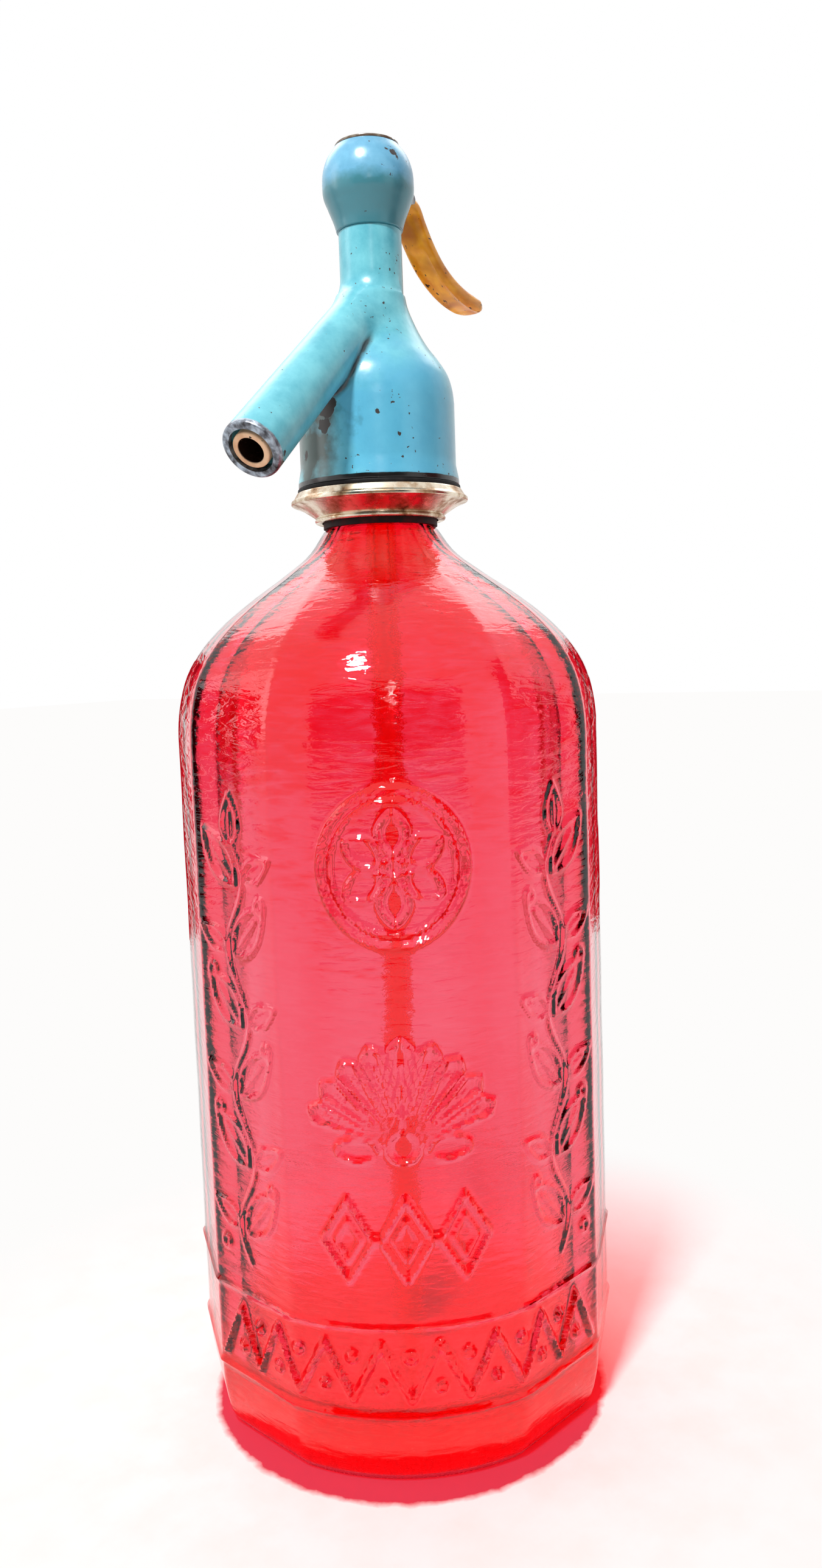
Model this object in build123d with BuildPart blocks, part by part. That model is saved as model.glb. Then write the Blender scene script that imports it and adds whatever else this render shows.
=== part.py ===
"""Soda siphon: a faceted glass bottle under a cast head with a spout and a thumb lever.

Millimetres.  The origin is the centre of the flat base, +Z runs up the bottle's axis,
the spout points towards -X and the lever reaches towards +X over a pin along Y.
"""
import math
import os

from build123d import *

# ---------------------------------------------------------------- fits and clearances
slip_fit = 0.05          # a piece pushed or turned into its seat, each side
thread_fit = 0.15        # screwed joints, drawn without their threads, each side
slot_play = 0.3          # lever arm in its slot, and fork on the stem, each side
pick_gap = 0.01          # how near a face or edge lies to the size it is picked by
face_gap = 0.02          # faces that bear on each other through a moving joint
fork_gap = 0.05          # lever fork under the stem's head

# ---------------------------------------------------------------- glass bottle
side_count = 12          # corners round the glass
panel_corner = 6         # corner where the rounded front panel begins; it takes up two sides
corner_r = 50.0          # axis to a vertical corner of the glass
bottle_turn = 3.0        # degrees from the lever's side round to the nearest corner
foot_r = 46.6            # corner radius where the heel meets the table
heel_h = 16.0
wall_h = 158.0           # where the straight sides end
shoulder_h = 47.0
neck_ledge = 2.2         # shoulder top out past the neck, at a corner
glass_wall = 4.4
glass_floor = 10.0
floor_curve_r = 8.0      # inside corner between the floor and the walls
neck_r = 11.2
neck_wall = 3.1
neck_blend = 1.0         # bore curve hands over to the neck bore this far outside it
neck_step = 0.6          # flat rim left round the foot of the neck
lip_flare = 2.0          # lip out past the neck
lip_h = 4.7
lip_round = 0.8

# height share and radius share along the heel and the shoulder
heel_shape = ((0.0, 0.0), (0.15, 0.35), (0.44, 0.74), (0.75, 0.94), (1.0, 1.0))
shoulder_shape = (
    (0.0, 1.0), (0.06, 0.997), (0.185, 0.974), (0.306, 0.927), (0.428, 0.832),
    (0.547, 0.69), (0.668, 0.496), (0.789, 0.27), (0.9, 0.09), (1.0, 0.0),
)

# ---------------------------------------------------------------- neck fittings
sleeve_t = 2.9           # rubber ring under the split ring
split_t = 3.1
split_gap = 0.8          # saw cut between the two halves of the split ring
lip_play = 0.4           # collar bore passing over the glass lip, each side
collar_foot_wall = 1.0
collar_ledge = 1.6       # collar bore out to the seat round the split ring
collar_wall = 1.8        # seat out to the thread
collar_foot_drop = 1.6   # from the split ring's seat down to the collar's lower edge
collar_flare = 1.5       # widest line out past the land
collar_rim_rise = 5.0    # lower edge up to the widest line
collar_land_w = 0.15     # land out past the gasket
collar_land_rise = 1.9   # widest line up to the land under the gasket
collar_rim_t = 0.7
collar_thread_h = 7.2
collar_gasket_t = 0.9
collar_gasket_w = 1.95   # thread out to the gasket's edge
seal_t = 2.2             # rubber washer on top of the glass lip

# ---------------------------------------------------------------- head casting
bell_bead_w = 0.6        # bead at the foot out past the bell
bell_bead_h = 1.4
bell_bead_taper = 3.2
bell_thread_wall = 0.95  # bell wall outside its thread
bell_straight_h = 18.5   # bell foot up to where it starts to close
bell_h = 42.7            # bell foot up to the column
column_wall = 1.8
column_h = 14.7
cast_wall = 1.9
column_bore_r = 5.4
column_blend = 0.4       # dome curve hands over to the column bore this far outside it
bell_shape = (
    (0.0, 1.0), (0.11, 0.975), (0.248, 0.888), (0.384, 0.7), (0.52, 0.468),
    (0.657, 0.285), (0.793, 0.14), (0.92, 0.035), (1.0, 0.0),
)

# ---------------------------------------------------------------- spout
spout_drop_angle = 40.0  # degrees below the horizontal
spout_reach = 47.0       # bottle axis to the centre of the mouth
spout_bore_r = 2.8
spout_tube_wall = 1.35   # plastic liner
spout_root_wall = 1.65   # casting outside the liner, at the bottle's axis
spout_bore_ledge = 0.2   # step where the bore narrows on its way into the valve chamber
spout_bore_start = 6.0   # bottle axis along the spout to that step
spout_flare = 0.8        # how much wider the mouth is than the root
mouth_groove_w = 0.85    # groove round the liner at the mouth
mouth_groove_depth = 5.0
mouth_round = 0.5

# ---------------------------------------------------------------- inner liner and valve
liner_flange_t = 3.5
liner_rim_t = 1.3        # wall of the upstanding rim
liner_play = 0.2         # liner tube in the column, each side
liner_top_drop = 12.2    # column top down to the top of the liner's tube
water_bore_r = 2.2
chamber_r = 3.1
seat_t = 2.0
seat_bore_r = 1.9
seat_drop = 12.4         # column foot down to the top of the valve seat
washer_t = 1.8
washer_r = 2.6
screw_head_r = 1.4
screw_head_t = 0.8
screw_r = 0.7
screw_grip = 3.0         # thread length inside the stem
stem_r = 1.5
packing_t = 2.5
packing_nut_t = 4.4
packing_key_w = 1.2      # driver slot across the packing nut
packing_key_depth = 1.1

# ---------------------------------------------------------------- dip tube
tube_bore_r = 2.2
tube_wall = 1.3
tube_floor_gap = 6.0     # glass floor to the tube's lower end
tube_socket_depth = 2.4  # tube's upper end inside the liner's nipple
nipple_wall = 1.4        # nipple round the dip tube
nipple_h = 7.0
tube_nut_corner = 1.65   # nut bore out to a corner
tube_nut_h = 8.8
tube_nut_floor = 1.6
tube_sleeve_wall = 1.5
tube_sleeve_h = 2.8

# ---------------------------------------------------------------- lever housing
housing_foot_r = 7.6
housing_top_r = 7.5
housing_belly_r = 10.45
housing_h = 18.3
housing_belly_share = 0.56
housing_foot_lean = (0.35, 1)
housing_top_lean = (-1, 0.9)
housing_bore_r = 6.2
housing_floor_t = 2.0
housing_thread_h = 4.0
stem_guide_r = 2.4
slot_low = 3.6           # lever pin down to the slot's sill
slot_high = 5.2          # lever pin up to the slot's head
slot_start = 3.0         # axis to where the slot begins
cap_t = 1.0
cap_r = 7.3
cap_spigot_h = 3.9
cap_recess_r = 3.9
cap_recess_roof = 0.9
coin_slot_w = 1.4
coin_slot_depth = 0.6

# ---------------------------------------------------------------- lever, stem head and spring
lever_pin_r = 1.2
lever_pin_x = 6.9
lever_pin_rise = 7.8     # housing foot up to the pin
lever_pin_inset = 0.25
arm_half_w = 3.5
arm_half_t = 1.5
arm_eye_r = 2.7
tongue_half_w = 2.2
tongue_half_t = 1.0
tongue_angle = 16.0
tongue_len = 9.2
fork_depth = 0.8         # the fork's slot past the bottle's axis
stem_head_r = 3.4
stem_head_t = 1.8
stem_tail = 3.4          # stem end above its head
spring_washer_t = 0.6
spring_washer_lip = 0.4  # washer out past the spring
spring_wire_r = 0.3
spring_r = 2.9
spring_turns = 3.5
grip_half_w = 3.6
grip_half_t = 2.3
grip_corner_share = 0.75 # corner radius over half the thickness
# centre line of the grip in the XZ plane, measured from the lever pin
grip_line = (
    (5.9, 1.9), (8.9, 1.3), (11.6, -1.9), (14.9, -5.6), (19.4, -9.3),
    (25.4, -12.3), (31.6, -14.0), (37.6, -14.6), (42.6, -14.4),
)
# share of the centre line, of the half width and of the half thickness at each section
grip_sections = (
    (0.0, 1.0, 0.91), (0.12, 1.0, 0.98), (0.3, 1.0, 1.0), (0.5, 1.0, 0.98), (0.7, 1.0, 0.98),
    (0.85, 0.98, 0.95), (0.94, 0.9, 0.82), (0.98, 0.72, 0.6), (1.0, 0.45, 0.33),
)

# ---------------------------------------------------------------- radii worked out from the sizes
neck_bore_r = neck_r - neck_wall
shoulder_top_r = neck_r + neck_ledge
lip_r = neck_r + lip_flare
collar_bore_r = lip_r + lip_play
collar_foot_r = collar_bore_r + collar_foot_wall
collar_seat_r = collar_bore_r + collar_ledge
collar_thread_r = collar_seat_r + collar_wall
collar_gasket_r = collar_thread_r + collar_gasket_w
collar_land_r = collar_gasket_r + collar_land_w
collar_rim_r = collar_land_r + collar_flare
sleeve_r = collar_bore_r - slot_play
bell_r = collar_thread_r + thread_fit + bell_thread_wall
bell_foot_r = bell_r + bell_bead_w
column_r = column_bore_r + column_wall
liner_tube_r = column_bore_r - liner_play
spout_tube_r = spout_bore_r + spout_tube_wall
spout_root_r = spout_tube_r + spout_root_wall
spout_tip_r = spout_root_r + spout_flare
mouth_groove_r = spout_tube_r + mouth_groove_w
tube_r = tube_bore_r + tube_wall
nipple_r = tube_r + nipple_wall
tube_sleeve_r = tube_r + tube_sleeve_wall
tube_nut_bore_r = max(nipple_r, tube_sleeve_r) + slip_fit
tube_nut_r = tube_nut_bore_r + tube_nut_corner
spring_washer_r = spring_r + spring_wire_r + spring_washer_lip

# ---------------------------------------------------------------- heights worked out from the sizes
shoulder_top_z = wall_h + shoulder_h
neck_foot_z = shoulder_top_z + neck_step
split_z = neck_foot_z + sleeve_t
lip_z = split_z + split_t
glass_top_z = lip_z + lip_h
collar_foot_z = split_z - collar_foot_drop
collar_rim_z = collar_foot_z + collar_rim_rise
collar_land_z = collar_rim_z + collar_land_rise
bell_z = collar_land_z + collar_gasket_t
column_z = bell_z + bell_h
column_top_z = column_z + column_h
liner_z = glass_top_z + seal_t
liner_top_z = column_top_z - liner_top_drop
seat_top_z = column_z - seat_drop
stem_z = seat_top_z + face_gap + washer_t
housing_top_z = column_top_z + housing_h
lever_pin_z = column_top_z + lever_pin_rise
stem_head_z = lever_pin_z + arm_half_t + fork_gap
spring_z = stem_head_z + stem_head_t + spring_washer_t
cap_roof_z = housing_top_z - cap_recess_roof

spout_angle = math.radians(spout_drop_angle)
spout_length = spout_reach / math.cos(spout_angle)
spout_plane = Plane(
    origin=(0, 0, column_z),
    x_dir=(0, 1, 0),
    z_dir=(-math.cos(spout_angle), 0, -math.sin(spout_angle)),
)
spout_taper = -math.degrees(math.atan((spout_tip_r - spout_root_r) / spout_length))


def curve_points(shape, start_z, height, end_r, gain_r):
    """Points (radius, height) of a shape given as shares of its height and its change of radius."""
    return [(end_r + share_r * gain_r, start_z + share_z * height) for share_z, share_r in shape]


def inset_points(points, wall):
    """The same outline moved in by one wall thickness, square to the outline at each point."""
    moved = []
    for index, (radius, height) in enumerate(points):
        before = points[max(index - 1, 0)]
        after = points[min(index + 1, len(points) - 1)]
        run = math.hypot(after[0] - before[0], after[1] - before[1])
        out_r = (after[1] - before[1]) / run
        out_z = -(after[0] - before[0]) / run
        moved.append((radius - wall * out_r, height - wall * out_z))
    return moved


def bottle_section(radius):
    """Section of the bottle: flat sides from corner to corner, two of them one round front panel."""
    corners = []
    for index in range(side_count):
        angle = math.radians(bottle_turn) + 2 * math.pi * (panel_corner + index) / side_count
        corners.append((radius * math.cos(angle), radius * math.sin(angle)))
    with BuildSketch() as section:
        with BuildLine():
            ThreePointArc(*corners[:3])
            Polyline(*corners[2:], corners[0])
        make_face()
    return section.sketch


def write(piece, name):
    """Label a finished piece and write it as a STEP file of its own."""
    piece.part.label = name
    export_step(piece.part, f"parts/{name}.step")


def tube_block(outer_r, bore_r, low_z, high_z):
    """A plain ring or bush on the bottle's axis."""
    with BuildPart() as ring:
        with BuildSketch(Plane.XY.offset(low_z)):
            Circle(outer_r)
            Circle(bore_r, mode=Mode.SUBTRACT)
        extrude(amount=high_z - low_z)
    return ring


os.makedirs("parts", exist_ok=True)

# ---------------------------------------------------------------- glass bottle
heel_points = curve_points(heel_shape, 0.0, heel_h, foot_r, corner_r - foot_r)
shoulder_points = curve_points(
    shoulder_shape, wall_h, shoulder_h, shoulder_top_r, corner_r - shoulder_top_r
)
face_share = math.cos(math.pi / side_count)
shoulder_flat = [(radius * face_share, height) for radius, height in shoulder_points]
bore_points = [
    point for point in inset_points(shoulder_flat, glass_wall) if point[0] > neck_bore_r + neck_blend
]
bore_wall_r = corner_r * face_share - glass_wall

with BuildPart() as glass_bottle:
    for radius, height in heel_points:
        with BuildSketch(Plane.XY.offset(height)):
            add(bottle_section(radius))
    loft()
    with BuildSketch(Plane.XY.offset(heel_h)):
        add(bottle_section(corner_r))
    extrude(amount=wall_h - heel_h)
with BuildPart() as glass_shoulder:
    for radius, height in shoulder_points:
        with BuildSketch(Plane.XY.offset(height)):
            add(bottle_section(radius))
    loft()
with BuildPart() as glass_inside:
    with BuildSketch(Plane.XZ):
        with BuildLine():
            floor_line = Line((0, glass_floor), (bore_wall_r - floor_curve_r, glass_floor))
            floor_arc = RadiusArc(
                floor_line @ 1, (bore_wall_r, glass_floor + floor_curve_r), -floor_curve_r
            )
            wall_line = Line(floor_arc @ 1, (bore_wall_r, bore_points[0][1]))
            shoulder_line = Spline(
                wall_line @ 1,
                *bore_points[1:],
                (neck_bore_r, neck_foot_z),
                tangents=((0, 1), (0, 1)),
            )
            neck_line = Line(shoulder_line @ 1, (neck_bore_r, glass_top_z + lip_h))
            Polyline(neck_line @ 1, (0, glass_top_z + lip_h), (0, glass_floor))
        make_face()
    revolve(axis=Axis.Z)
with BuildPart() as glass_neck:
    with BuildSketch(Plane.XZ):
        with BuildLine():
            Polyline(
                (0, wall_h), (neck_r, wall_h), (neck_r, lip_z), (lip_r, lip_z),
                (lip_r, glass_top_z), (0, glass_top_z), close=True,
            )
        make_face()
    revolve(axis=Axis.Z)
    lip_edges = glass_neck.edges().filter_by(GeomType.CIRCLE).filter_by(
        lambda edge: edge.radius > lip_r - pick_gap
    )
    fillet(lip_edges, lip_round)
with BuildPart() as glass_rim:
    with BuildSketch(Plane.XY.offset(shoulder_top_z)):
        Circle(shoulder_top_r * face_share)
    extrude(amount=neck_step)
with BuildPart() as glass_bottle_whole:
    add(glass_bottle.part)
    add(glass_shoulder.part)
    add(glass_rim.part)
    add(glass_neck.part)
    add(glass_inside.part, mode=Mode.SUBTRACT)
write(glass_bottle_whole, "glass_bottle")

# ---------------------------------------------------------------- neck fittings
write(tube_block(sleeve_r, neck_r + slip_fit, neck_foot_z, split_z), "neck_sleeve")

for half_name, side in (("split_ring_front", -1), ("split_ring_rear", 1)):
    with BuildPart() as split_ring:
        with BuildSketch(Plane.XY.offset(split_z)):
            Circle(collar_seat_r - slip_fit)
            Circle(neck_r + slip_fit, mode=Mode.SUBTRACT)
            with Locations((0, side * (split_gap / 2 + collar_seat_r))):
                Rectangle(2 * collar_seat_r, 2 * collar_seat_r, mode=Mode.INTERSECT)
        extrude(amount=split_t)
    write(split_ring, half_name)

with BuildPart() as neck_collar:
    with BuildSketch(Plane.XZ):
        with BuildLine():
            Polyline(
                (collar_bore_r, collar_foot_z),
                (collar_foot_r, collar_foot_z),
                (collar_rim_r, collar_rim_z - collar_rim_t),
                (collar_rim_r, collar_rim_z),
                (collar_land_r, collar_land_z),
                (collar_thread_r, collar_land_z),
                (collar_thread_r, collar_land_z + collar_thread_h),
                (collar_seat_r, collar_land_z + collar_thread_h),
                (collar_seat_r, split_z),
                (collar_bore_r, split_z),
                close=True,
            )
        make_face()
    revolve(axis=Axis.Z)
write(neck_collar, "neck_collar")

write(
    tube_block(collar_gasket_r, collar_thread_r + slip_fit, collar_land_z, bell_z),
    "collar_gasket",
)
write(tube_block(lip_r, nipple_r + slip_fit, glass_top_z, liner_z), "bottle_seal")

# ---------------------------------------------------------------- head casting
bell_points = curve_points(
    bell_shape, bell_z + bell_straight_h, bell_h - bell_straight_h, column_r, bell_r - column_r
)
bell_inside = [
    point for point in inset_points(bell_points, cast_wall) if point[0] > column_bore_r + column_blend
]
liner_flange_r = collar_seat_r - slot_play
bell_bore_r = bell_r - cast_wall
thread_top_z = collar_land_z + collar_thread_h + slot_play

with BuildPart() as head_body:
    with BuildSketch(Plane.XZ):
        with BuildLine():
            foot_line = Polyline(
                (0, bell_z),
                (bell_foot_r, bell_z),
                (bell_foot_r, bell_z + bell_bead_h),
                (bell_r, bell_z + bell_bead_h + bell_bead_taper),
                bell_points[0],
            )
            bell_line = Spline(foot_line @ 1, *bell_points[1:], tangents=((0, 1), (0, 1)))
            Polyline(bell_line @ 1, (column_r, column_top_z), (0, column_top_z), (0, bell_z))
        make_face()
    revolve(axis=Axis.Z)
    with BuildSketch(spout_plane):
        Circle(spout_root_r)
    extrude(amount=spout_length, taper=spout_taper)
with BuildPart() as head_inside:
    with BuildSketch(Plane.XZ):
        with BuildLine():
            thread_line = Polyline(
                (0, bell_z - bell_bead_h),
                (collar_thread_r + thread_fit, bell_z - bell_bead_h),
                (collar_thread_r + thread_fit, thread_top_z),
                (bell_bore_r, thread_top_z),
                (bell_bore_r, bell_inside[0][1]),
            )
            dome_line = Spline(
                thread_line @ 1,
                *bell_inside[1:],
                (column_bore_r, column_z),
                tangents=((0, 1), (0, 1)),
            )
            Polyline(
                dome_line @ 1,
                (column_bore_r, column_top_z + cast_wall),
                (0, column_top_z + cast_wall),
                (0, bell_z - bell_bead_h),
            )
        make_face()
    revolve(axis=Axis.Z)
with BuildPart() as spout_hole:
    with BuildSketch(spout_plane):
        Circle(spout_tube_r + slip_fit)
    extrude(amount=spout_length + cast_wall)
    with BuildSketch(spout_plane.offset(spout_length - mouth_groove_depth)):
        Circle(mouth_groove_r)
    extrude(amount=mouth_groove_depth + cast_wall)
with BuildPart() as head_body_whole:
    add(head_body.part)
    add(head_inside.part, mode=Mode.SUBTRACT)
    add(spout_hole.part, mode=Mode.SUBTRACT)
write(head_body_whole, "head_body")

# ---------------------------------------------------------------- plastic liner of the head
rim_top_z = bell_inside[0][1]
with BuildPart() as head_liner:
    with BuildSketch(Plane.XZ):
        with BuildLine():
            Polyline(
                (0, liner_z - nipple_h),
                (nipple_r, liner_z - nipple_h),
                (nipple_r, liner_z),
                (liner_flange_r, liner_z),
                (liner_flange_r, rim_top_z),
                (liner_flange_r - liner_rim_t, rim_top_z),
                (liner_flange_r - liner_rim_t, liner_z + liner_flange_t),
                (liner_tube_r, liner_z + liner_flange_t),
                (liner_tube_r, liner_top_z),
                (0, liner_top_z),
                close=True,
            )
        make_face()
    revolve(axis=Axis.Z)
    with BuildSketch(Plane.XY.offset(liner_top_z)):
        Circle(chamber_r)
    extrude(amount=seat_top_z - seat_t - liner_top_z, mode=Mode.SUBTRACT)
    with BuildSketch(Plane.XY.offset(liner_z - nipple_h)):
        Circle(water_bore_r)
    extrude(amount=liner_top_z - liner_z + nipple_h, mode=Mode.SUBTRACT)
    with BuildSketch(Plane.XY.offset(liner_z - nipple_h)):
        Circle(tube_r + slip_fit)
    extrude(amount=tube_socket_depth, mode=Mode.SUBTRACT)
    with BuildSketch(spout_plane):
        Circle(spout_bore_r - spout_bore_ledge)
    extrude(amount=spout_bore_start, mode=Mode.SUBTRACT)
    with BuildSketch(spout_plane.offset(spout_bore_start)):
        Circle(spout_bore_r)
    extrude(amount=2 * liner_tube_r, mode=Mode.SUBTRACT)
write(head_liner, "head_liner")

with BuildPart() as spout_liner:
    with BuildSketch(spout_plane):
        Circle(spout_tube_r)
        Circle(spout_bore_r, mode=Mode.SUBTRACT)
    extrude(amount=spout_length)
    with BuildSketch(Plane.XY.offset(liner_z)):
        Circle(liner_tube_r + slip_fit)
    extrude(amount=column_top_z - liner_z, mode=Mode.SUBTRACT)
    mouth_edges = spout_liner.edges().filter_by(GeomType.CIRCLE)
    fillet(mouth_edges, mouth_round)
write(spout_liner, "spout_liner")

# ---------------------------------------------------------------- valve
write(
    tube_block(chamber_r - slip_fit, seat_bore_r, seat_top_z - seat_t, seat_top_z),
    "valve_seat",
)
write(
    tube_block(washer_r, screw_r + slip_fit, seat_top_z + face_gap, stem_z),
    "valve_washer",
)
with BuildPart() as washer_screw:
    with BuildSketch(Plane.XY.offset(seat_top_z + face_gap)):
        Circle(screw_head_r)
    extrude(amount=-screw_head_t)
    with BuildSketch(Plane.XY.offset(seat_top_z + face_gap)):
        Circle(screw_r)
    extrude(amount=washer_t + screw_grip)
write(washer_screw, "washer_screw")

with BuildPart() as valve_stem:
    with BuildSketch(Plane.XY.offset(stem_z)):
        Circle(washer_r)
    extrude(amount=stem_r)
    with BuildSketch(Plane.XY.offset(stem_z)):
        Circle(stem_r)
    extrude(amount=stem_head_z + stem_head_t + stem_tail - stem_z)
    with BuildSketch(Plane.XY.offset(stem_z)):
        Circle(screw_r + slip_fit)
    extrude(amount=screw_grip + face_gap, mode=Mode.SUBTRACT)
write(valve_stem, "valve_stem")

write(
    tube_block(stem_head_r, stem_r + slip_fit, stem_head_z, stem_head_z + stem_head_t),
    "stem_head",
)
write(
    tube_block(
        column_bore_r - slip_fit, stem_r + slip_fit, liner_top_z, liner_top_z + packing_t
    ),
    "packing_washer",
)
packing_nut_z = liner_top_z + packing_t
with BuildPart() as packing_nut:
    with BuildSketch(Plane.XY.offset(packing_nut_z)):
        Circle(column_bore_r - slip_fit)
        Circle(stem_r + slip_fit, mode=Mode.SUBTRACT)
    extrude(amount=packing_nut_t)
    with BuildSketch(Plane.XY.offset(packing_nut_z + packing_nut_t)):
        Rectangle(3 * column_bore_r, packing_key_w)
    extrude(amount=-packing_key_depth, mode=Mode.SUBTRACT)
write(packing_nut, "packing_nut")

# ---------------------------------------------------------------- dip tube
tube_top_z = liner_z - nipple_h + tube_socket_depth
tube_nut_z = liner_z - nipple_h - tube_sleeve_h - tube_nut_floor
write(
    tube_block(tube_r, tube_bore_r, glass_floor + tube_floor_gap, tube_top_z),
    "dip_tube",
)
write(
    tube_block(
        tube_sleeve_r, tube_r + slip_fit, liner_z - nipple_h - tube_sleeve_h, liner_z - nipple_h
    ),
    "tube_sleeve",
)
with BuildPart() as tube_nut:
    with BuildSketch(Plane.XY.offset(tube_nut_z)):
        RegularPolygon(tube_nut_r, 6)
        Circle(tube_r + slip_fit, mode=Mode.SUBTRACT)
    extrude(amount=tube_nut_h)
    with BuildSketch(Plane.XY.offset(tube_nut_z + tube_nut_floor)):
        Circle(tube_nut_bore_r)
    extrude(amount=tube_nut_h, mode=Mode.SUBTRACT)
write(tube_nut, "tube_nut")

# ---------------------------------------------------------------- lever housing
belly_z = column_top_z + housing_h * housing_belly_share
with BuildPart() as lever_housing:
    with BuildSketch(Plane.XZ):
        with BuildLine():
            belly_line = Spline(
                (housing_foot_r, column_top_z),
                (housing_belly_r, belly_z),
                (housing_top_r, housing_top_z),
                tangents=(housing_foot_lean, (0, 1), housing_top_lean),
            )
            Polyline(
                belly_line @ 1,
                (0, housing_top_z),
                (0, column_top_z - housing_thread_h),
                (column_bore_r - thread_fit, column_top_z - housing_thread_h),
                (column_bore_r - thread_fit, column_top_z),
                (housing_foot_r, column_top_z),
            )
        make_face()
    revolve(axis=Axis.Z)
    with BuildSketch(Plane.XY.offset(column_top_z - housing_thread_h)):
        Circle(stem_guide_r)
    extrude(amount=housing_h, mode=Mode.SUBTRACT)
    with BuildSketch(Plane.XY.offset(column_top_z + housing_floor_t)):
        Circle(housing_bore_r)
    extrude(amount=housing_h, mode=Mode.SUBTRACT)
    with BuildSketch(Plane.XZ.offset(-arm_half_w - slot_play)):
        with Locations((slot_start + housing_belly_r, lever_pin_z + (slot_high - slot_low) / 2)):
            Rectangle(2 * housing_belly_r, slot_low + slot_high)
    extrude(amount=2 * (arm_half_w + slot_play), mode=Mode.SUBTRACT)
    with BuildSketch(Plane.XZ.offset(-housing_belly_r)):
        with Locations((lever_pin_x, lever_pin_z)):
            Circle(lever_pin_r + slip_fit)
    extrude(amount=2 * housing_belly_r, mode=Mode.SUBTRACT)
write(lever_housing, "lever_housing")

with BuildPart() as top_cap:
    with BuildSketch(Plane.XY.offset(housing_top_z)):
        Circle(cap_r)
    extrude(amount=cap_t)
    with BuildSketch(Plane.XY.offset(housing_top_z)):
        Circle(housing_bore_r - slip_fit)
    extrude(amount=-cap_spigot_h)
    with BuildSketch(Plane.XY.offset(cap_roof_z)):
        Circle(cap_recess_r)
    extrude(amount=-cap_spigot_h, mode=Mode.SUBTRACT)
    with BuildSketch(Plane.XY.offset(housing_top_z + cap_t)):
        Rectangle(coin_slot_w, 3 * cap_r)
    extrude(amount=-coin_slot_depth, mode=Mode.SUBTRACT)
write(top_cap, "top_cap")

# ---------------------------------------------------------------- lever
pin_half_len = math.sqrt(housing_belly_r**2 - lever_pin_x**2) - lever_pin_inset
with BuildPart() as lever_pin:
    with BuildSketch(Plane.XZ.offset(-pin_half_len)):
        with Locations((lever_pin_x, lever_pin_z)):
            Circle(lever_pin_r)
    extrude(amount=2 * pin_half_len)
write(lever_pin, "lever_pin")

tongue_rad = math.radians(tongue_angle)
tongue_plane = Plane(
    origin=(lever_pin_x, 0, lever_pin_z),
    x_dir=(math.cos(tongue_rad), 0, math.sin(tongue_rad)),
    z_dir=(0, -1, 0),
)
pin_hole_plane = Plane.XZ.offset(-arm_half_w)
with BuildPart() as lever_arm:
    with BuildSketch(pin_hole_plane):
        with Locations((lever_pin_x / 2, lever_pin_z)):
            Rectangle(lever_pin_x, 2 * arm_half_t)
        with Locations((0, lever_pin_z)):
            Circle(arm_half_t)
        with Locations((lever_pin_x, lever_pin_z)):
            Circle(arm_eye_r)
    extrude(amount=2 * arm_half_w)
    with BuildSketch(tongue_plane.offset(-tongue_half_w)):
        with Locations((tongue_len / 2, 0)):
            Rectangle(tongue_len, 2 * tongue_half_t)
    extrude(amount=2 * tongue_half_w)
    with BuildSketch(Plane.XY.offset(lever_pin_z - arm_half_t)):
        with Locations((fork_depth - arm_half_w, 0)):
            SlotCenterToCenter(2 * arm_half_w, 2 * (stem_r + slot_play))
    extrude(amount=2 * arm_half_t, mode=Mode.SUBTRACT)
    with BuildSketch(pin_hole_plane):
        with Locations((lever_pin_x, lever_pin_z)):
            Circle(lever_pin_r + slip_fit)
    extrude(amount=2 * arm_half_w, mode=Mode.SUBTRACT)
write(lever_arm, "lever_arm")

with BuildPart() as lever_grip:
    with BuildLine():
        grip_path = Spline(
            *[(lever_pin_x + along, 0, lever_pin_z + up) for along, up in grip_line]
        )
    for share, width_share, thickness_share in grip_sections:
        half_t = grip_half_t * thickness_share
        with BuildSketch(Plane(grip_path @ share, x_dir=(0, 1, 0), z_dir=grip_path % share)):
            RectangleRounded(
                2 * grip_half_w * width_share, 2 * half_t, grip_corner_share * half_t
            )
    loft()
    with BuildSketch(tongue_plane.offset(-tongue_half_w - slip_fit)):
        with Locations(((tongue_len + slip_fit) / 2, 0)):
            Rectangle(tongue_len + slip_fit, 2 * (tongue_half_t + slip_fit))
    extrude(amount=2 * (tongue_half_w + slip_fit), mode=Mode.SUBTRACT)
write(lever_grip, "lever_grip")

# ---------------------------------------------------------------- return spring
write(
    tube_block(
        spring_washer_r,
        stem_r + slip_fit,
        stem_head_z + stem_head_t,
        stem_head_z + stem_head_t + spring_washer_t,
    ),
    "spring_washer",
)
coil_z = spring_z + spring_wire_r + face_gap
coil_h = cap_roof_z - face_gap - spring_wire_r - coil_z
with BuildPart() as return_spring:
    with BuildLine(Plane.XY.offset(coil_z)):
        coil = Helix(pitch=coil_h / spring_turns, height=coil_h, radius=spring_r)
    with BuildSketch(Plane(origin=coil @ 0, z_dir=coil % 0)):
        Circle(spring_wire_r)
    sweep(path=coil, is_frenet=True)
write(return_spring, "return_spring")
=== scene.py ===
"""Looks of a soda siphon in faceted red glass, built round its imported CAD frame.

Lengths in the classes are millimetres in the part's own frame: the origin is the centre of the flat
base, +Z runs up the bottle, the spout points to -X and the thumb lever to +X.  Meshes are in metres.
"""
from __future__ import annotations

import logging
import math
from collections.abc import Callable, Iterator, Sequence
from contextlib import contextmanager
from dataclasses import dataclass
from enum import Enum

import bpy
import numpy as np
from mathutils import Matrix, Vector


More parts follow.
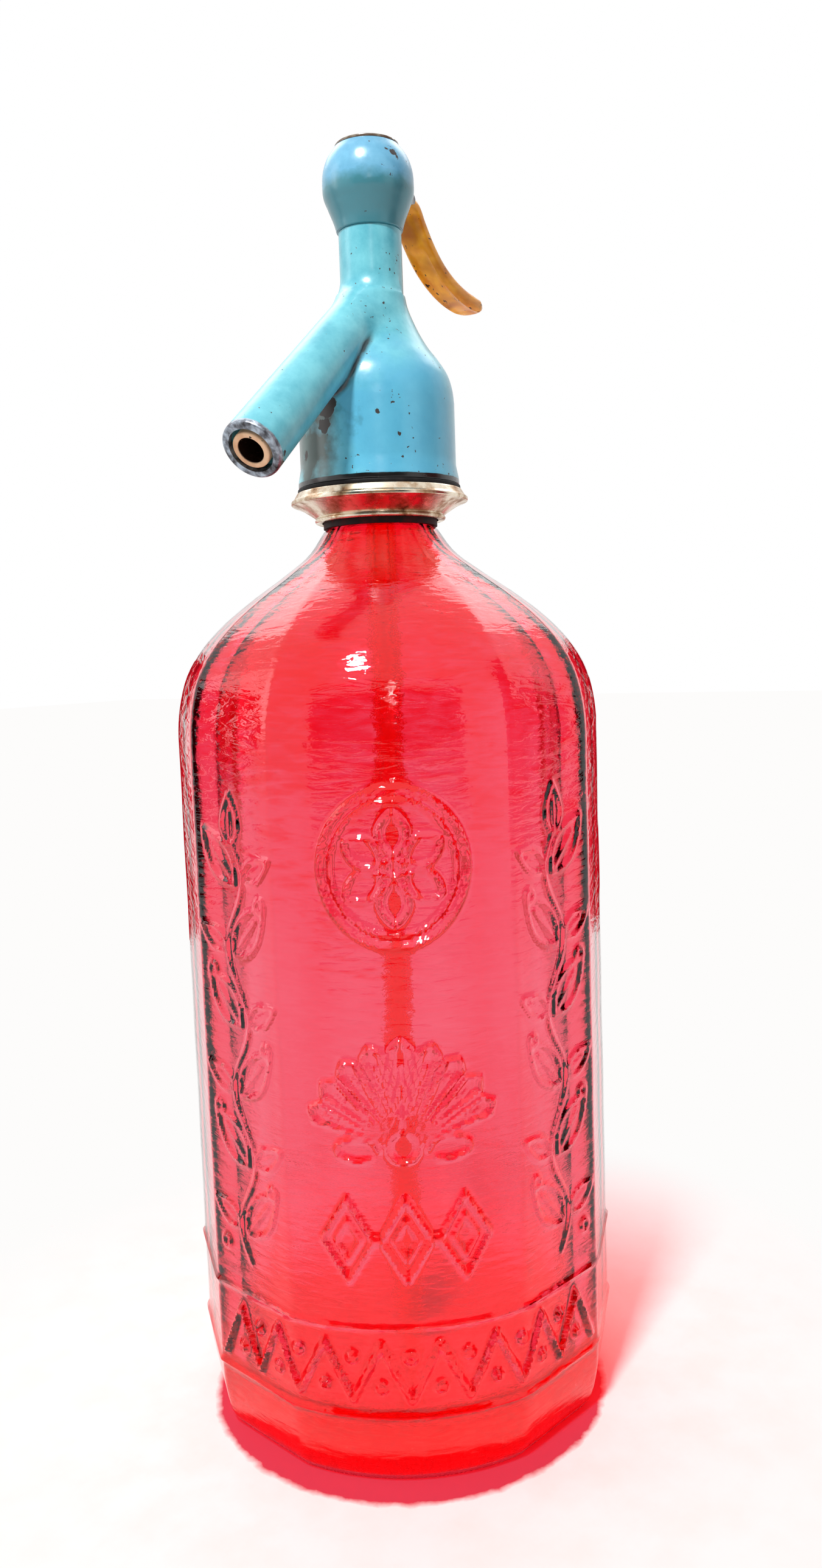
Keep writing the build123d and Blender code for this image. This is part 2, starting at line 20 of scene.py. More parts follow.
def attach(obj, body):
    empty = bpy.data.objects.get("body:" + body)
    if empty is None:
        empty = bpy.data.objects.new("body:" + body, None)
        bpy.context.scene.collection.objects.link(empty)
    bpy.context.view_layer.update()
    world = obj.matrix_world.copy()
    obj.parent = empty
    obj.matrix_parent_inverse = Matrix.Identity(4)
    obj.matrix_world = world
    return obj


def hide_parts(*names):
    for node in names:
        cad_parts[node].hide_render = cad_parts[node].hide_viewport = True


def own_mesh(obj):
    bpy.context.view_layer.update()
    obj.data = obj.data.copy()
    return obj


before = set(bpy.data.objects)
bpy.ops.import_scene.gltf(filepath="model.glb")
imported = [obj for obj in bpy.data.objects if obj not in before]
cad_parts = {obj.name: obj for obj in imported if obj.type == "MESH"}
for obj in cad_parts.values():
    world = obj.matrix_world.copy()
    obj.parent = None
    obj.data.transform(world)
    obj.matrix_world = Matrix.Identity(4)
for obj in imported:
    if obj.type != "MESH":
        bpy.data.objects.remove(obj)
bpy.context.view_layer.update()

MM = 0.001
log = logging.getLogger("siphon")
Outline = Sequence[tuple[float, ...]]
Ramp = Sequence[tuple[float, str]]
Piece = bpy.types.Object
Socket = bpy.types.NodeSocket
Tree = bpy.types.NodeTree


class Body(Enum):
    """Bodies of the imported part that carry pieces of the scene."""

    SIPHON = "siphon"
    LEVER = "lever"


class Boolean(Enum):
    """How one solid acts on another."""

    JOIN = "UNION"
    CUT = "DIFFERENCE"


# ------------------------------------------------------------------------------------ colour and nodes
def linear(code: str) -> tuple[float, float, float, float]:
    """Turn an sRGB hex colour into linear values.

    Args:
        code: Colour such as "#3FA0B4".

    Returns:
        Red, green, blue and an alpha of 1.
    """
    parts = [int(code[at:at + 2], 16) / 255 for at in (1, 3, 5)]
    red, green, blue = [v / 12.92 if v <= 0.04045 else ((v + 0.055) / 1.055) ** 2.4 for v in parts]
    return red, green, blue, 1.0


def per_mm(size: float) -> float:
    """Texture scale whose features are about size millimetres across."""
    return 1.0 / (size * MM)


def add(tree: Tree, kind: str, *values: object, out: int | str = 0, ramp: Ramp = (),
        **named: object) -> Socket | None:
    """Add one node with its values, links and settings.

    Args:
        tree: Node tree that takes the node.
        kind: Node type, without its prefix.
        values: What goes into the node's first inputs. A socket is linked, "#" begins an sRGB hex
            colour, and None leaves an input alone.
        out: Number or name of the output that is wanted.
        ramp: Colour ramp stops, each a place and an sRGB hex colour.
        named: Further inputs, named with a capital and with _ for a space, and the node's settings.

    Returns:
        The wanted output, if the node has any.
    """
    made = tree.nodes.new("ShaderNode" + kind)
    inputs = dict(enumerate(values))
    for name, value in named.items():
        if name[0].isupper():
            inputs[name.replace("_", " ")] = value
        else:
            setattr(made, name, value)
    for key, value in inputs.items():
        if isinstance(value, Socket):
            tree.links.new(value, made.inputs[key])
        elif value is not None:
            made.inputs[key].default_value = linear(value) if isinstance(value, str) else value
    if ramp:
        stops = made.color_ramp.elements
        for stop, (at, code) in zip((stops[0], stops[1]), (ramp[0], ramp[-1])):
            stop.position, stop.color = at, linear(code)
        for at, code in ramp[1:-1]:
            stops.new(at).color = linear(code)
    return made.outputs[out] if len(made.outputs) else None


def layered(tree: Tree, colour: Socket | str, *layers: tuple[Socket, Socket | str]) -> Socket:
    """Lay colours over one another.

    Args:
        tree: Node tree that takes the nodes.
        colour: The lowest colour, a socket or an sRGB hex colour.
        layers: A mask and a colour for each layer, which shows where its mask is 1.

    Returns:
        The socket of the colour that is seen.
    """
    for mask, over in layers:
        colour = add(tree, "Mix", mask, *[None] * 5, colour, over, out=2, data_type="RGBA")
    return colour


def mottled(tree: Tree, place: Socket, size: float, ramp: Ramp, **named: float) -> tuple[Socket, Socket]:
    """Make noise and colour it.

    Args:
        tree: Node tree that takes the nodes.
        place: Object coordinates.
        size: Width of the noise's features, in millimetres.
        ramp: Colour ramp stops.
        named: Further inputs of the noise.

    Returns:
        The noise's socket and the colour's.
    """
    noise = add(tree, "TexNoise", place, Scale=per_mm(size), **named)
    return noise, add(tree, "ValToRGB", noise, ramp=ramp)


@dataclass(frozen=True)
class Patch:
    """A place on a surface: worn, stained or chipped, or where light or shade is painted."""

    at: tuple[float, float, float]
    radius: float


def patch_mask(tree: Tree, place: Socket, patches: Sequence[Patch], ragged: float, grain: float,
               soft: float) -> Socket:
    """Mask that is 1 inside the patches, with a ragged edge.

    Args:
        tree: Node tree that takes the nodes.
        place: Object coordinates.
        patches: Where the patches are.
        ragged: How far the edge wanders, in millimetres.
        grain: Size of its wandering, in millimetres.
        soft: Width over which the edge fades, in millimetres.

    Returns:
        The mask's socket.
    """
    noise = add(tree, "TexNoise", place, Scale=per_mm(grain), Detail=5.0)
    wander = add(tree, "MapRange", noise, 0.3, 0.7, -ragged * MM, ragged * MM, clamp=False)
    total = None
    for patch in patches:
        away = add(tree, "VectorMath", place, [v * MM for v in patch.at], out=1, operation="DISTANCE")
        edge = add(tree, "Math", away, wander, operation="ADD")
        inside = add(tree, "MapRange", edge, (patch.radius + soft) * MM, (patch.radius - soft) * MM)
        total = inside if total is None else add(tree, "Math", total, inside, operation="MAXIMUM")
    return total


def speck_mask(tree: Tree, place: Socket, size: float, share: float, spread: float) -> Socket:
    """Mask of small scattered specks that gather in some places.

    Args:
        tree: Node tree that takes the nodes.
        place: Object coordinates.
        size: Size of a speck's cell, in millimetres.
        share: How low the fine noise has to be for a speck, from 0 to 1.
        spread: Distance over which specks gather and thin out, in millimetres.

    Returns:
        The mask's socket.
    """
    fine = add(tree, "TexNoise", place, Scale=per_mm(size), Detail=2.0)
    wide = add(tree, "TexNoise", place, Scale=per_mm(spread), Detail=1.0)
    level = add(tree, "MapRange", wide, 0.35, 0.65, share - 0.07, share + 0.03)
    under = add(tree, "Math", level, fine, operation="SUBTRACT")
    return add(tree, "MapRange", under, 0.0, 0.03)


def seen_rays(tree: Tree) -> tuple[Socket, Socket]:
    """Tell rays that show a surface from rays that carry its light.

    Args:
        tree: Node tree that takes the nodes.

    Returns:
        A mask of rays from the eye, a gloss or glass, and one of rays through glass alone.
    """
    ray = add(tree, "LightPath").node.outputs
    shiny = add(tree, "Math", ray["Is Glossy Ray"], ray["Is Transmission Ray"], operation="MAXIMUM")
    return add(tree, "Math", ray["Is Camera Ray"], shiny, operation="MAXIMUM"), ray["Is Transmission Ray"]


# ------------------------------------------------------------------------------------ finishes
@dataclass(frozen=True)
class Finish:
    """What a surface is made of, and how it was finished."""

    name: str
    slot: str

    def shade(self, tree: Tree, place: Socket) -> Socket:
        """Build the nodes of the surface.

        Args:
            tree: Node tree that takes the nodes.
            place: Object coordinates.

        Returns:
            The shader's socket.
        """
        raise NotImplementedError

    def depth(self, tree: Tree) -> Socket | None:
        """Build what fills the solid and return its socket, if it isn't opaque."""
        return None

    def material(self) -> bpy.types.Material:
        """Make the material the first time it is wanted.

        Returns:
            The material.
        """
        made = bpy.data.materials.get(self.name)
        if made is None:
            made = bpy.data.materials.new(self.name)
            made.use_nodes = True
            tree = made.node_tree
            tree.nodes.clear()
            place = add(tree, "TexCoord", out="Object")
            add(tree, "OutputMaterial", Volume=self.depth(tree), Surface=self.shade(tree, place))
        return made


@dataclass(frozen=True)
class PressedGlass(Finish):
    """Selenium red soda glass, pressed in an iron mould: wet gloss, faint chill ripples, a scuffed foot."""

    foot: str = "#F690A8"
    low: str = "#FFCCD4"
    middle: str = "#FFF0F2"
    body: str = "#FFCCD8"
    neck: str = "#FF607A"
    cast: str = "#FFD4DA"
    core: str = "#FC448E"
    worn: str = "#C4547A"
    density: float = 190.0
    ripple: float = 7.0
    reach: float = 360.0

    def shade(self, tree: Tree, place: Socket) -> Socket:
        """Clear red glass whose tint deepens up the bottle.

        Args:
            tree: Node tree that takes the nodes.
            place: Object coordinates.

        Returns:
            The shader's socket.
        """
        height = add(tree, "SeparateXYZ", place, out="Z")
        cloud = add(tree, "TexNoise", place, Scale=per_mm(38), Detail=1.0)
        level = add(tree, "MapRange", height, 0.0, self.reach * MM)
        wavy = add(tree, "Math", cloud, 0.45, level, operation="MULTIPLY_ADD")
        stretched = add(tree, "Mapping", place, Scale=(1.0, 1.0, 4.5))
        ripples = add(tree, "TexNoise", stretched, Scale=per_mm(self.ripple), Detail=4.0, Distortion=0.5)
        reamy = add(tree, "Math", ripples, 0.5, wavy, operation="MULTIPLY_ADD")
        tint = add(tree, "ValToRGB", reamy, ramp=((0.44, self.foot), (0.53, self.low), (0.66, self.middle),
                                                  (0.9, self.body), (1.0, self.neck)))
        scuffs = add(tree, "TexNoise", place, Scale=per_mm(0.8), Detail=3.0)
        worn = add(tree, "MapRange", height, 3 * MM, 0.0)
        frost = add(tree, "Math", worn, scuffs, operation="MULTIPLY")
        # the underside is scuffed matt where it stands
        polish = add(tree, "MapRange", height, 1.3 * MM, 2.1 * MM, 0.3)
        clear = add(tree, "BsdfPrincipled", IOR=1.5, Transmission_Weight=polish,
                    Base_Color=layered(tree, self.worn, (polish, tint)),
                    Roughness=add(tree, "MapRange", frost, 0.0, 1.0, 0.012, 0.55),
                    Normal=add(tree, "Bump", Height=ripples, Strength=0.5, Distance=0.4 * MM))
        # lamps shine through the glass and throw its red on what lies behind it
        thrown = add(tree, "BsdfTransparent", self.cast)
        return add(tree, "MixShader", add(tree, "LightPath", out="Is Shadow Ray"), clear, thrown)

    def depth(self, tree: Tree) -> Socket:
        """Absorption that darkens the long way through the glass at its edges and foot."""
        return add(tree, "VolumeAbsorption", self.core, self.density)


@dataclass(frozen=True)
class StovedEnamel(Finish):
    """Stoved blue enamel on a rough alloy casting: glossy, mottled by age, chipped to dark metal."""

    light: str = "#7CD0DC"
    middle: str = "#54AEC0"
    dark: str = "#3F7F8E"
    bare: str = "#2B2422"
    crease_shade: str = "#1C2C2E"
    foot_shade: str = "#0E0C0C"
    stain_and_shadow: str = "#34504C"
    blue_light: str = "#6CC6E2"
    blue_dark: str = "#50A8CC"
    alloy: Ramp = ((0.3, "#2E2827"), (0.46, "#6F737B"), (0.64, "#B2BECB"))
    shade_from: float = 0.0
    shade_to: float = 0.0
    chips: tuple[Patch, ...] = ()
    stains_and_shadow: tuple[Patch, ...] = ()
    blue: tuple[Patch, ...] = ()
    bare_spout_from: float = 0.0
    black_below: float = 0.0

    def shade(self, tree: Tree, place: Socket) -> Socket:
        """Mottled colour, darker below a height, with stains and painted shadow, painted shade in the crease
        and at the foot, specks and chips through to the metal.

        Args:
            tree: Node tree that takes the nodes.
            place: Object coordinates.

        Returns:
            The shader's socket.
        """
        mottle, colour = mottled(tree, place, 6, ((0.3, self.middle), (0.7, self.light)), Detail=6.0,
                                 Roughness=0.6)
        height = add(tree, "SeparateXYZ", place, out="Z")
        layers = []
        # darker below a height; on the ball this is painted shade under its middle
        if self.shade_to > self.shade_from:
            uneven = add(tree, "TexNoise", place, Scale=per_mm(2.5), Detail=4.0)
            edge = add(tree, "Math", uneven, 3.2 * MM, height, operation="MULTIPLY_ADD")
            lower = add(tree, "MapRange", edge, (self.shade_to + 1.6) * MM, (self.shade_from + 1.6) * MM)
            layers.append((lower, self.dark))
        if self.blue:
            bluer = patch_mask(tree, place, self.blue, ragged=3.0, grain=8, soft=4.5)
            layers.append((bluer, layered(tree, self.blue_dark, (mottle, self.blue_light))))
        # stains that also paint the spout's cast shadow on the left of the bell
        if self.stains_and_shadow:
            stain_and_shadow_mask = patch_mask(tree, place, self.stains_and_shadow, ragged=4.5, grain=6, soft=3.6)
            layers.append((stain_and_shadow_mask, self.stain_and_shadow))
        # painted shade: the bell's foot blackened, widening the dark band of gasket and shade under it
        if self.black_below:
            edge = add(tree, "Math", mottle, -0.5 * MM, height, operation="MULTIPLY_ADD")
            foot_shaded = add(tree, "MapRange", edge, self.black_below * MM, (self.black_below - 0.15) * MM)
            layers.append((foot_shaded, self.foot_shade))
        # painted shade in the crease where the spout joins the bell
        crease = add(tree, "Attribute", out="Fac", attribute_name="crease")
        shaded = add(tree, "Math", crease, mottle, operation="MULTIPLY")
        crease_shade_mask = add(tree, "MapRange", shaded, 0.12, 0.45, 0.0, 0.95)
        gone = speck_mask(tree, place, size=1.1, share=0.305, spread=14)
        if self.chips:
            chipped = patch_mask(tree, place, self.chips, ragged=0.5, grain=1.4, soft=0.09)
            gone = add(tree, "Math", gone, chipped, operation="MAXIMUM")
        peel = add(tree, "TexNoise", place, Scale=per_mm(1.8), Detail=3.0)
        level = add(tree, "Math", gone, -0.6, peel, operation="MULTIPLY_ADD")
        bump = add(tree, "Bump", Height=level, Strength=0.4, Distance=0.12 * MM)
        colour = layered(tree, colour, *layers, (crease_shade_mask, self.crease_shade), (gone, self.bare))
        painted = add(tree, "BsdfPrincipled", Base_Color=colour,
                      Roughness=add(tree, "MapRange", gone, 0.0, 1.0, 0.27, 0.65), Normal=bump,
                      Coat_Weight=0.3, Coat_Roughness=0.28)
        if not self.bare_spout_from:
            return painted
        # the mouth of the spout is rubbed down to bare alloy
        reach = add(tree, "VectorMath", place, tuple(Spout.axis), out=1, operation="DOT_PRODUCT")
        rubbed = add(tree, "Math", mottle, 1.6 * MM, reach, operation="MULTIPLY_ADD")
        start = float(np.dot(Spout.origin, Spout.axis)) + self.bare_spout_from
        worn = add(tree, "MapRange", rubbed, start * MM, (start + 0.35) * MM)
        metal = add(tree, "BsdfPrincipled", Base_Color=add(tree, "ValToRGB", peel, ramp=self.alloy),
                    Metallic=0.75, Roughness=0.36, Normal=bump)
        return add(tree, "MixShader", worn, painted, metal)


@dataclass(frozen=True)
class SpunPewter(Finish):
    """Tinned collar, spun and polished: bright ridges, tan and brown tarnish in clouds and bands."""

    polished: str = "#F4ECDC"
    bright: str = "#E6D8C2"
    tarnish: str = "#B08E6C"
    rust: str = "#6E4A34"

    def shade(self, tree: Tree, place: Socket) -> Socket:
        """Polished tin with turning marks and uneven tarnish.

        Args:
            tree: Node tree that takes the nodes.
            place: Object coordinates.

        Returns:
            The shader's socket.
        """
        cloud, tone = mottled(tree, place, 5, ((0.3, self.rust), (0.4, self.tarnish), (0.56, self.bright),
                                               (0.8, self.polished)), Detail=6.0, Roughness=0.65)
        bands = add(tree, "Mapping", place, Scale=(0.12, 0.12, 1.0))
        marks = add(tree, "TexNoise", bands, Scale=per_mm(0.5), Detail=3.0)
        return add(tree, "BsdfPrincipled", Base_Color=tone, Metallic=1.0,
                   Roughness=add(tree, "MapRange", cloud, 0.3, 0.55, 0.5, 0.22),
                   Normal=add(tree, "Bump", Height=marks, Strength=0.25, Distance=0.06 * MM))


@dataclass(frozen=True)
class TurnedMetal(Finish):
    """Lathe-turned metal, brass or steel: fine rings, a little dulled by age."""

    light: str = "#D9B56A"
    dark: str = "#7E5F2C"
    rough: float = 0.3

    def shade(self, tree: Tree, place: Socket) -> Socket:
        """Metal whose tone and gloss vary with tarnish.

        Args:
            tree: Node tree that takes the nodes.
            place: Object coordinates.

        Returns:
            The shader's socket.
        """
        cloud, tone = mottled(tree, place, 3, ((0.33, self.dark), (0.6, self.light)), Detail=5.0)
        rings = add(tree, "TexWave", place, out="Fac", Scale=per_mm(3.2), Distortion=0.6,
                    bands_direction="Z")
        return add(tree, "BsdfPrincipled", Base_Color=tone, Metallic=1.0,
                   Roughness=add(tree, "MapRange", cloud, 0.0, 1.0, self.rough + 0.16, self.rough - 0.08),
                   Normal=add(tree, "Bump", Height=rings, Strength=0.15, Distance=0.02 * MM))


@dataclass(frozen=True)
class MouldedRubber(Finish):
    """Moulded black rubber: matt, faintly bloomed with grey where it has aged."""

    base: str = "#0E0C0D"
    bloom: str = "#221E1E"

    def shade(self, tree: Tree, place: Socket) -> Socket:
        """Dull black with a grey bloom and a fine grain.

        Args:
            tree: Node tree that takes the nodes.
            place: Object coordinates.

        Returns:
            The shader's socket.
        """
        cloud, tone = mottled(tree, place, 2.2, ((0.45, self.base), (0.75, self.bloom)), Detail=5.0)
        grain = add(tree, "TexNoise", place, Scale=per_mm(0.3))
        return add(tree, "BsdfPrincipled", Base_Color=tone, Specular_IOR_Level=0.25,
                   Roughness=add(tree, "MapRange", cloud, 0.0, 1.0, 0.5, 0.8),
                   Normal=add(tree, "Bump", Height=grain, Strength=0.3, Distance=0.03 * MM))


@dataclass(frozen=True)
class MouldedPlastic(Finish):
    """Compression-moulded plastic: waxy gloss, soft streaks of colour, dark dirt in its scratches and painted
    shade in a bore.
    """

    light: str
    dark: str
    dirt: str
    streak: float = 4.0
    flank: str = ""
    glow: float = 0.0
    bore_r: float = 0.0

    def shade(self, tree: Tree, place: Socket) -> Socket:
        """Streaked colour with a little depth under its gloss.

        Args:
            tree: Node tree that takes the nodes.
            place: Object coordinates.

        Returns:
            The shader's socket.
        """
        along = add(tree, "Mapping", place, Rotation=(0.0, math.radians(24), 0.0), Scale=(0.22, 1.0, 1.0))
        _, colour = mottled(tree, along, self.streak, ((0.34, self.dark), (0.6, self.light)), Detail=5.0,
                            Distortion=0.4)
        if self.flank:
            cloud = add(tree, "TexNoise", place, Scale=per_mm(9), Detail=2.0)
            deep = add(tree, "MapRange", cloud, 0.46, 0.64, 0.0, 0.7)
            colour = layered(tree, colour, (deep, self.flank))
        dirt_and_bore_shade = speck_mask(tree, along, size=1.0, share=0.33, spread=9)
        if self.bore_r:
            # the bore of the spout is painted dark: brown from use, and painted shade deep in the bore
            offset = add(tree, "VectorMath", place, list(Spout.origin * MM), operation="SUBTRACT")
            off_line = add(tree, "VectorMath", offset, list(Spout.axis), operation="CROSS_PRODUCT")
            away = add(tree, "VectorMath", off_line, out=1, operation="LENGTH")
            inside = add(tree, "MapRange", away, (self.bore_r + 0.22) * MM, (self.bore_r + 0.05) * MM)
            dirt_and_bore_shade = add(tree, "Math", dirt_and_bore_shade, inside, operation="MAXIMUM")
        fine = add(tree, "TexNoise", along, Scale=per_mm(0.9), Detail=3.0)
        return add(tree, "BsdfPrincipled", Base_Color=layered(tree, colour, (dirt_and_bore_shade, self.dirt)),
                   Roughness=add(tree, "MapRange", fine, 0.0, 1.0, 0.16, 0.34),
                   Normal=add(tree, "Bump", Height=fine, Strength=0.22, Distance=0.08 * MM),
                   Specular_IOR_Level=0.2, Subsurface_Weight=self.glow, Subsurface_Radius=(1.0, 0.45, 0.15),
                   Subsurface_Scale=2.0 * MM, Coat_Weight=0.06, Coat_Roughness=0.2)


@dataclass(frozen=True)
class DrawnTube(Finish):
    """Drawn clear tube: smooth, with faint lines along its length and a film stained red."""

    tint: str = "#FF6870"
    film: str = "#FF3C48"

    def shade(self, tree: Tree, place: Socket) -> Socket:
        """Clear wall with a thin uneven film.

        Args:
            tree: Node tree that takes the nodes.
            place: Object coordinates.

        Returns:
            The shader's socket.
        """
        lines = add(tree, "Mapping", place, Scale=(1.0, 1.0, 0.05))
        drawn, tone = mottled(tree, lines, 1.2, ((0.4, self.film), (0.65, self.tint)), Detail=3.0)
        return add(tree, "BsdfPrincipled", Base_Color=tone, IOR=1.45, Transmission_Weight=1.0,
                   Roughness=add(tree, "MapRange", drawn, 0.0, 1.0, 0.0, 0.12),
                   Normal=add(tree, "Bump", Height=drawn, Strength=0.3, Distance=0.05 * MM))


@dataclass(frozen=True)
class LimedTable(Finish):
    """Limewashed table top: chalky white, brushed on, with the bottle's red light painted round its foot."""

    light: str = "#F4F2F0"
    dark: str = "#EFECE8"
    plain: str = "#FDFCFB"
    glow: str = "#C42E46"
    lit_place: Patch = Patch((-6.4, -4.0, 0.0), 46.8)
    fade: tuple[float, float] = (48.0, 150.0)
    under_glass: float = 0.6

    def shade(self, tree: Tree, place: Socket) -> Socket:
        """Matt white near the foot that runs out into plain white.

        Args:
            tree: Node tree that takes the nodes.
            place: Object coordinates.

        Returns:
            The shader's socket.
        """
        _, tone = mottled(tree, place, 14, ((0.35, self.dark), (0.6, self.light)), Detail=6.0)
        # painted red light: the glow the glass throws round its foot, painted into the table's colour
        lit = patch_mask(tree, place, (self.lit_place,), ragged=0.5, grain=4, soft=0.9)
        matt = add(tree, "BsdfPrincipled", layered(tree, tone, (lit, self.glow)), Roughness=0.85)
        seen, through = seen_rays(tree)
        away = add(tree, "VectorMath", place, out=1, operation="LENGTH")
        far = add(tree, "MapRange", away, *[v * MM for v in self.fade], interpolation_type="SMOOTHSTEP")
        under = add(tree, "Math", through, self.under_glass, operation="MULTIPLY")
        least = add(tree, "Math", far, under, operation="MAXIMUM")
        faded = add(tree, "Math", seen, least, operation="MULTIPLY")
        plain = add(tree, "Emission", layered(tree, self.plain, (lit, self.glow)), 1.0)
        return add(tree, "MixShader", faded, matt, plain)


@dataclass(frozen=True)
class RedCard(Finish):
    """Bright red card beside the set: the faces of the glass seen edge on mirror it."""

    light: str = "#D01424"
    dark: str = "#C01020"

    def shade(self, tree: Tree, place: Socket) -> Socket:
        """Even red, a little cloudy."""
        _, tone = mottled(tree, place, 60, ((0.35, self.dark), (0.65, self.light)))
        return add(tree, "Emission", tone, 1.0)


# ------------------------------------------------------------------------------------ outlines
def curve_through(points: Outline, count: int) -> np.ndarray:
    """Smooth curve through some points.

    Args:
        points: Points of any number of coordinates.
        count: How many points to return.

    Returns:
        Points evenly spaced by chord length, one row each.
    """
    known = np.array(points, float)
    chord = np.concatenate([[0], np.cumsum(np.linalg.norm(np.diff(known, axis=0), axis=1))])
    lean = np.gradient(known, chord, axis=0)
    wanted = np.linspace(0, chord[-1], count)
    index = np.clip(np.searchsorted(chord, wanted, side="right") - 1, 0, len(chord) - 2)
    run = (chord[index + 1] - chord[index])[:, None]
    t = (wanted[:, None] - chord[index][:, None]) / run
    return ((2 * t**3 - 3 * t**2 + 1) * known[index] + (t**3 - 2 * t**2 + t) * run * lean[index]
            + (3 * t**2 - 2 * t**3) * known[index + 1] + (t**3 - t**2) * run * lean[index + 1])


def rounded(corners: Outline, steps: int = 5) -> np.ndarray:
    """Closed outline with its corners rounded.

    Args:
        corners: Radius, height and rounding of each corner.
        steps: Points along each rounded corner.

    Returns:
        Points of the outline, one row each.
    """
    made = []
    for index, (radius, height, fillet) in enumerate(corners):
        here = np.array((radius, height), float)
        if fillet <= 0:
            made.append(here)
            continue
        before = np.array(corners[index - 1][:2], float) - here
        after = np.array(corners[(index + 1) % len(corners)][:2], float) - here
        start = here + before / np.linalg.norm(before) * fillet
        end = here + after / np.linalg.norm(after) * fillet
        for t in np.linspace(0, 1, steps):
            made.append((1 - t) ** 2 * start + 2 * t * (1 - t) * here + t**2 * end)
    return np.array(made)


def scaled(shares: Outline, start: Sequence[float], reach: Sequence[float]) -> list[tuple[float, float]]:
    """Turn shares of height and radius into radius and height, from a start over a reach."""
    return [(start[0] + share_r * reach[0], start[1] + share_z * reach[1]) for share_z, share_r in shares]


# ------------------------------------------------------------------------------------ mesh work
def activate(piece: Piece) -> None:
    """Deselect everything, then select this piece and make it the active one."""
    bpy.ops.object.select_all(action="DESELECT")
    piece.select_set(True)
    bpy.context.view_layer.objects.active = piece


def primitive(name: str, operator: Callable, **sizes: float) -> Piece:
    """Add a primitive with nothing else selected.

    Args:
        name: Name of the piece.
        operator: Operator that adds it.
        sizes: What the operator takes.

    Returns:
        The piece.
    """
    bpy.ops.object.select_all(action="DESELECT")
    operator(**sizes)
    piece = bpy.context.object
    piece.name = piece.data.name = name
    return piece


@contextmanager
def edit_mode() -> Iterator[None]:
    """Edit mode on the active piece, with all of its mesh selected."""
    bpy.ops.object.mode_set(mode="EDIT")
    bpy.ops.mesh.select_all(action="SELECT")
    yield
    bpy.ops.object.mode_set(mode="OBJECT")


def set_points(piece: Piece, points: np.ndarray) -> None:
    """Place a mesh's vertices, given in millimetres."""
    piece.data.vertices.foreach_set("co", (points * MM).ravel())
    piece.data.update()


def get_points(piece: Piece) -> np.ndarray:
    """Read a mesh's vertices, in millimetres."""
    found = np.empty(len(piece.data.vertices) * 3)
    piece.data.vertices.foreach_get("co", found)
    return found.reshape(-1, 3) / MM


def move_mesh(piece: Piece, matrix: Matrix) -> None:
    """Turn and move a mesh, and leave its object at the origin.

    Args:
        piece: The piece.
        matrix: How it turns and moves.
    """
    piece.matrix_world = matrix
    activate(piece)
    bpy.ops.object.transform_apply(location=True, rotation=True, scale=True)


def close_up(piece: Piece, merge: float = 0.002) -> None:
    """Merge seams and poles, drop what is loose and turn all faces outwards.

    Args:
        piece: The piece.
        merge: How near points are merged, in millimetres.
    """
    activate(piece)
    with edit_mode():
        bpy.ops.mesh.remove_doubles(threshold=merge * MM)
        bpy.ops.mesh.delete_loose(use_verts=True, use_edges=True, use_faces=False)
        bpy.ops.mesh.select_all(action="SELECT")
        bpy.ops.mesh.normals_make_consistent(inside=False)


def turned(name: str, outline: Outline, steps: int = 128) -> Piece:
    """Turn a closed outline about the bottle's axis, as on a lathe.

    Args:
        name: Name of the piece.
        outline: Radius and height of each point.
        steps: Faces round the piece.

    Returns:
        The piece.
    """
    piece = primitive(name, bpy.ops.mesh.primitive_circle_add, vertices=len(outline), radius=1.0)
    radius, height = np.array(outline, float).T
    set_points(piece, np.column_stack([radius, np.zeros(len(outline)), height]))
    with edit_mode():
        bpy.ops.mesh.spin(steps=steps, angle=2 * math.pi, center=(0, 0, 0), axis=(0, 0, 1))
    close_up(piece)
    return piece


def swept(name: str, rings: np.ndarray) -> Piece:
    """Skin over rings of points; a ring whose points all meet closes the end.

    Args:
        name: Name of the piece.
        rings: Array of rings by points round each by three coordinates, in millimetres.

    Returns:
        The piece, closed round each ring.
    """
    count, around = rings.shape[:2]
    piece = primitive(name, bpy.ops.mesh.primitive_grid_add, x_subdivisions=around,
                      y_subdivisions=count - 1, size=1.0)
    set_points(piece, np.concatenate([rings, rings[:, :1]], axis=1).reshape(-1, 3))
    close_up(piece)
    return piece


def combine(piece: Piece, tool: Piece, how: Boolean) -> None:
    """Join a tool to a piece or cut it out, and remove the tool.

    Args:
        piece: The piece that is changed.
        tool: The solid that acts on it.
        how: What the tool does.
    """
    activate(piece)
    step = piece.modifiers.new(how.value, "BOOLEAN")
    step.operation, step.object, step.solver = how.value, tool, "EXACT"
    bpy.ops.object.modifier_apply(modifier=step.name)
    bpy.data.objects.remove(tool)


def block(size: Sequence[float], centre: Sequence[float], edge: float) -> Piece:
    """A block with rounded edges, for cutting.

    Args:
        size: Length along X, Y and Z.
        centre: Its middle.
        edge: Rounding of its edges.

    Returns:
        The block.
    """
    tool = primitive("block", bpy.ops.mesh.primitive_cube_add, size=1.0)
    set_points(tool, get_points(tool) * MM * np.array(size) + np.array(centre))
    with edit_mode():
        bpy.ops.mesh.bevel(offset=edge * MM, segments=3, affect="EDGES")
    return tool


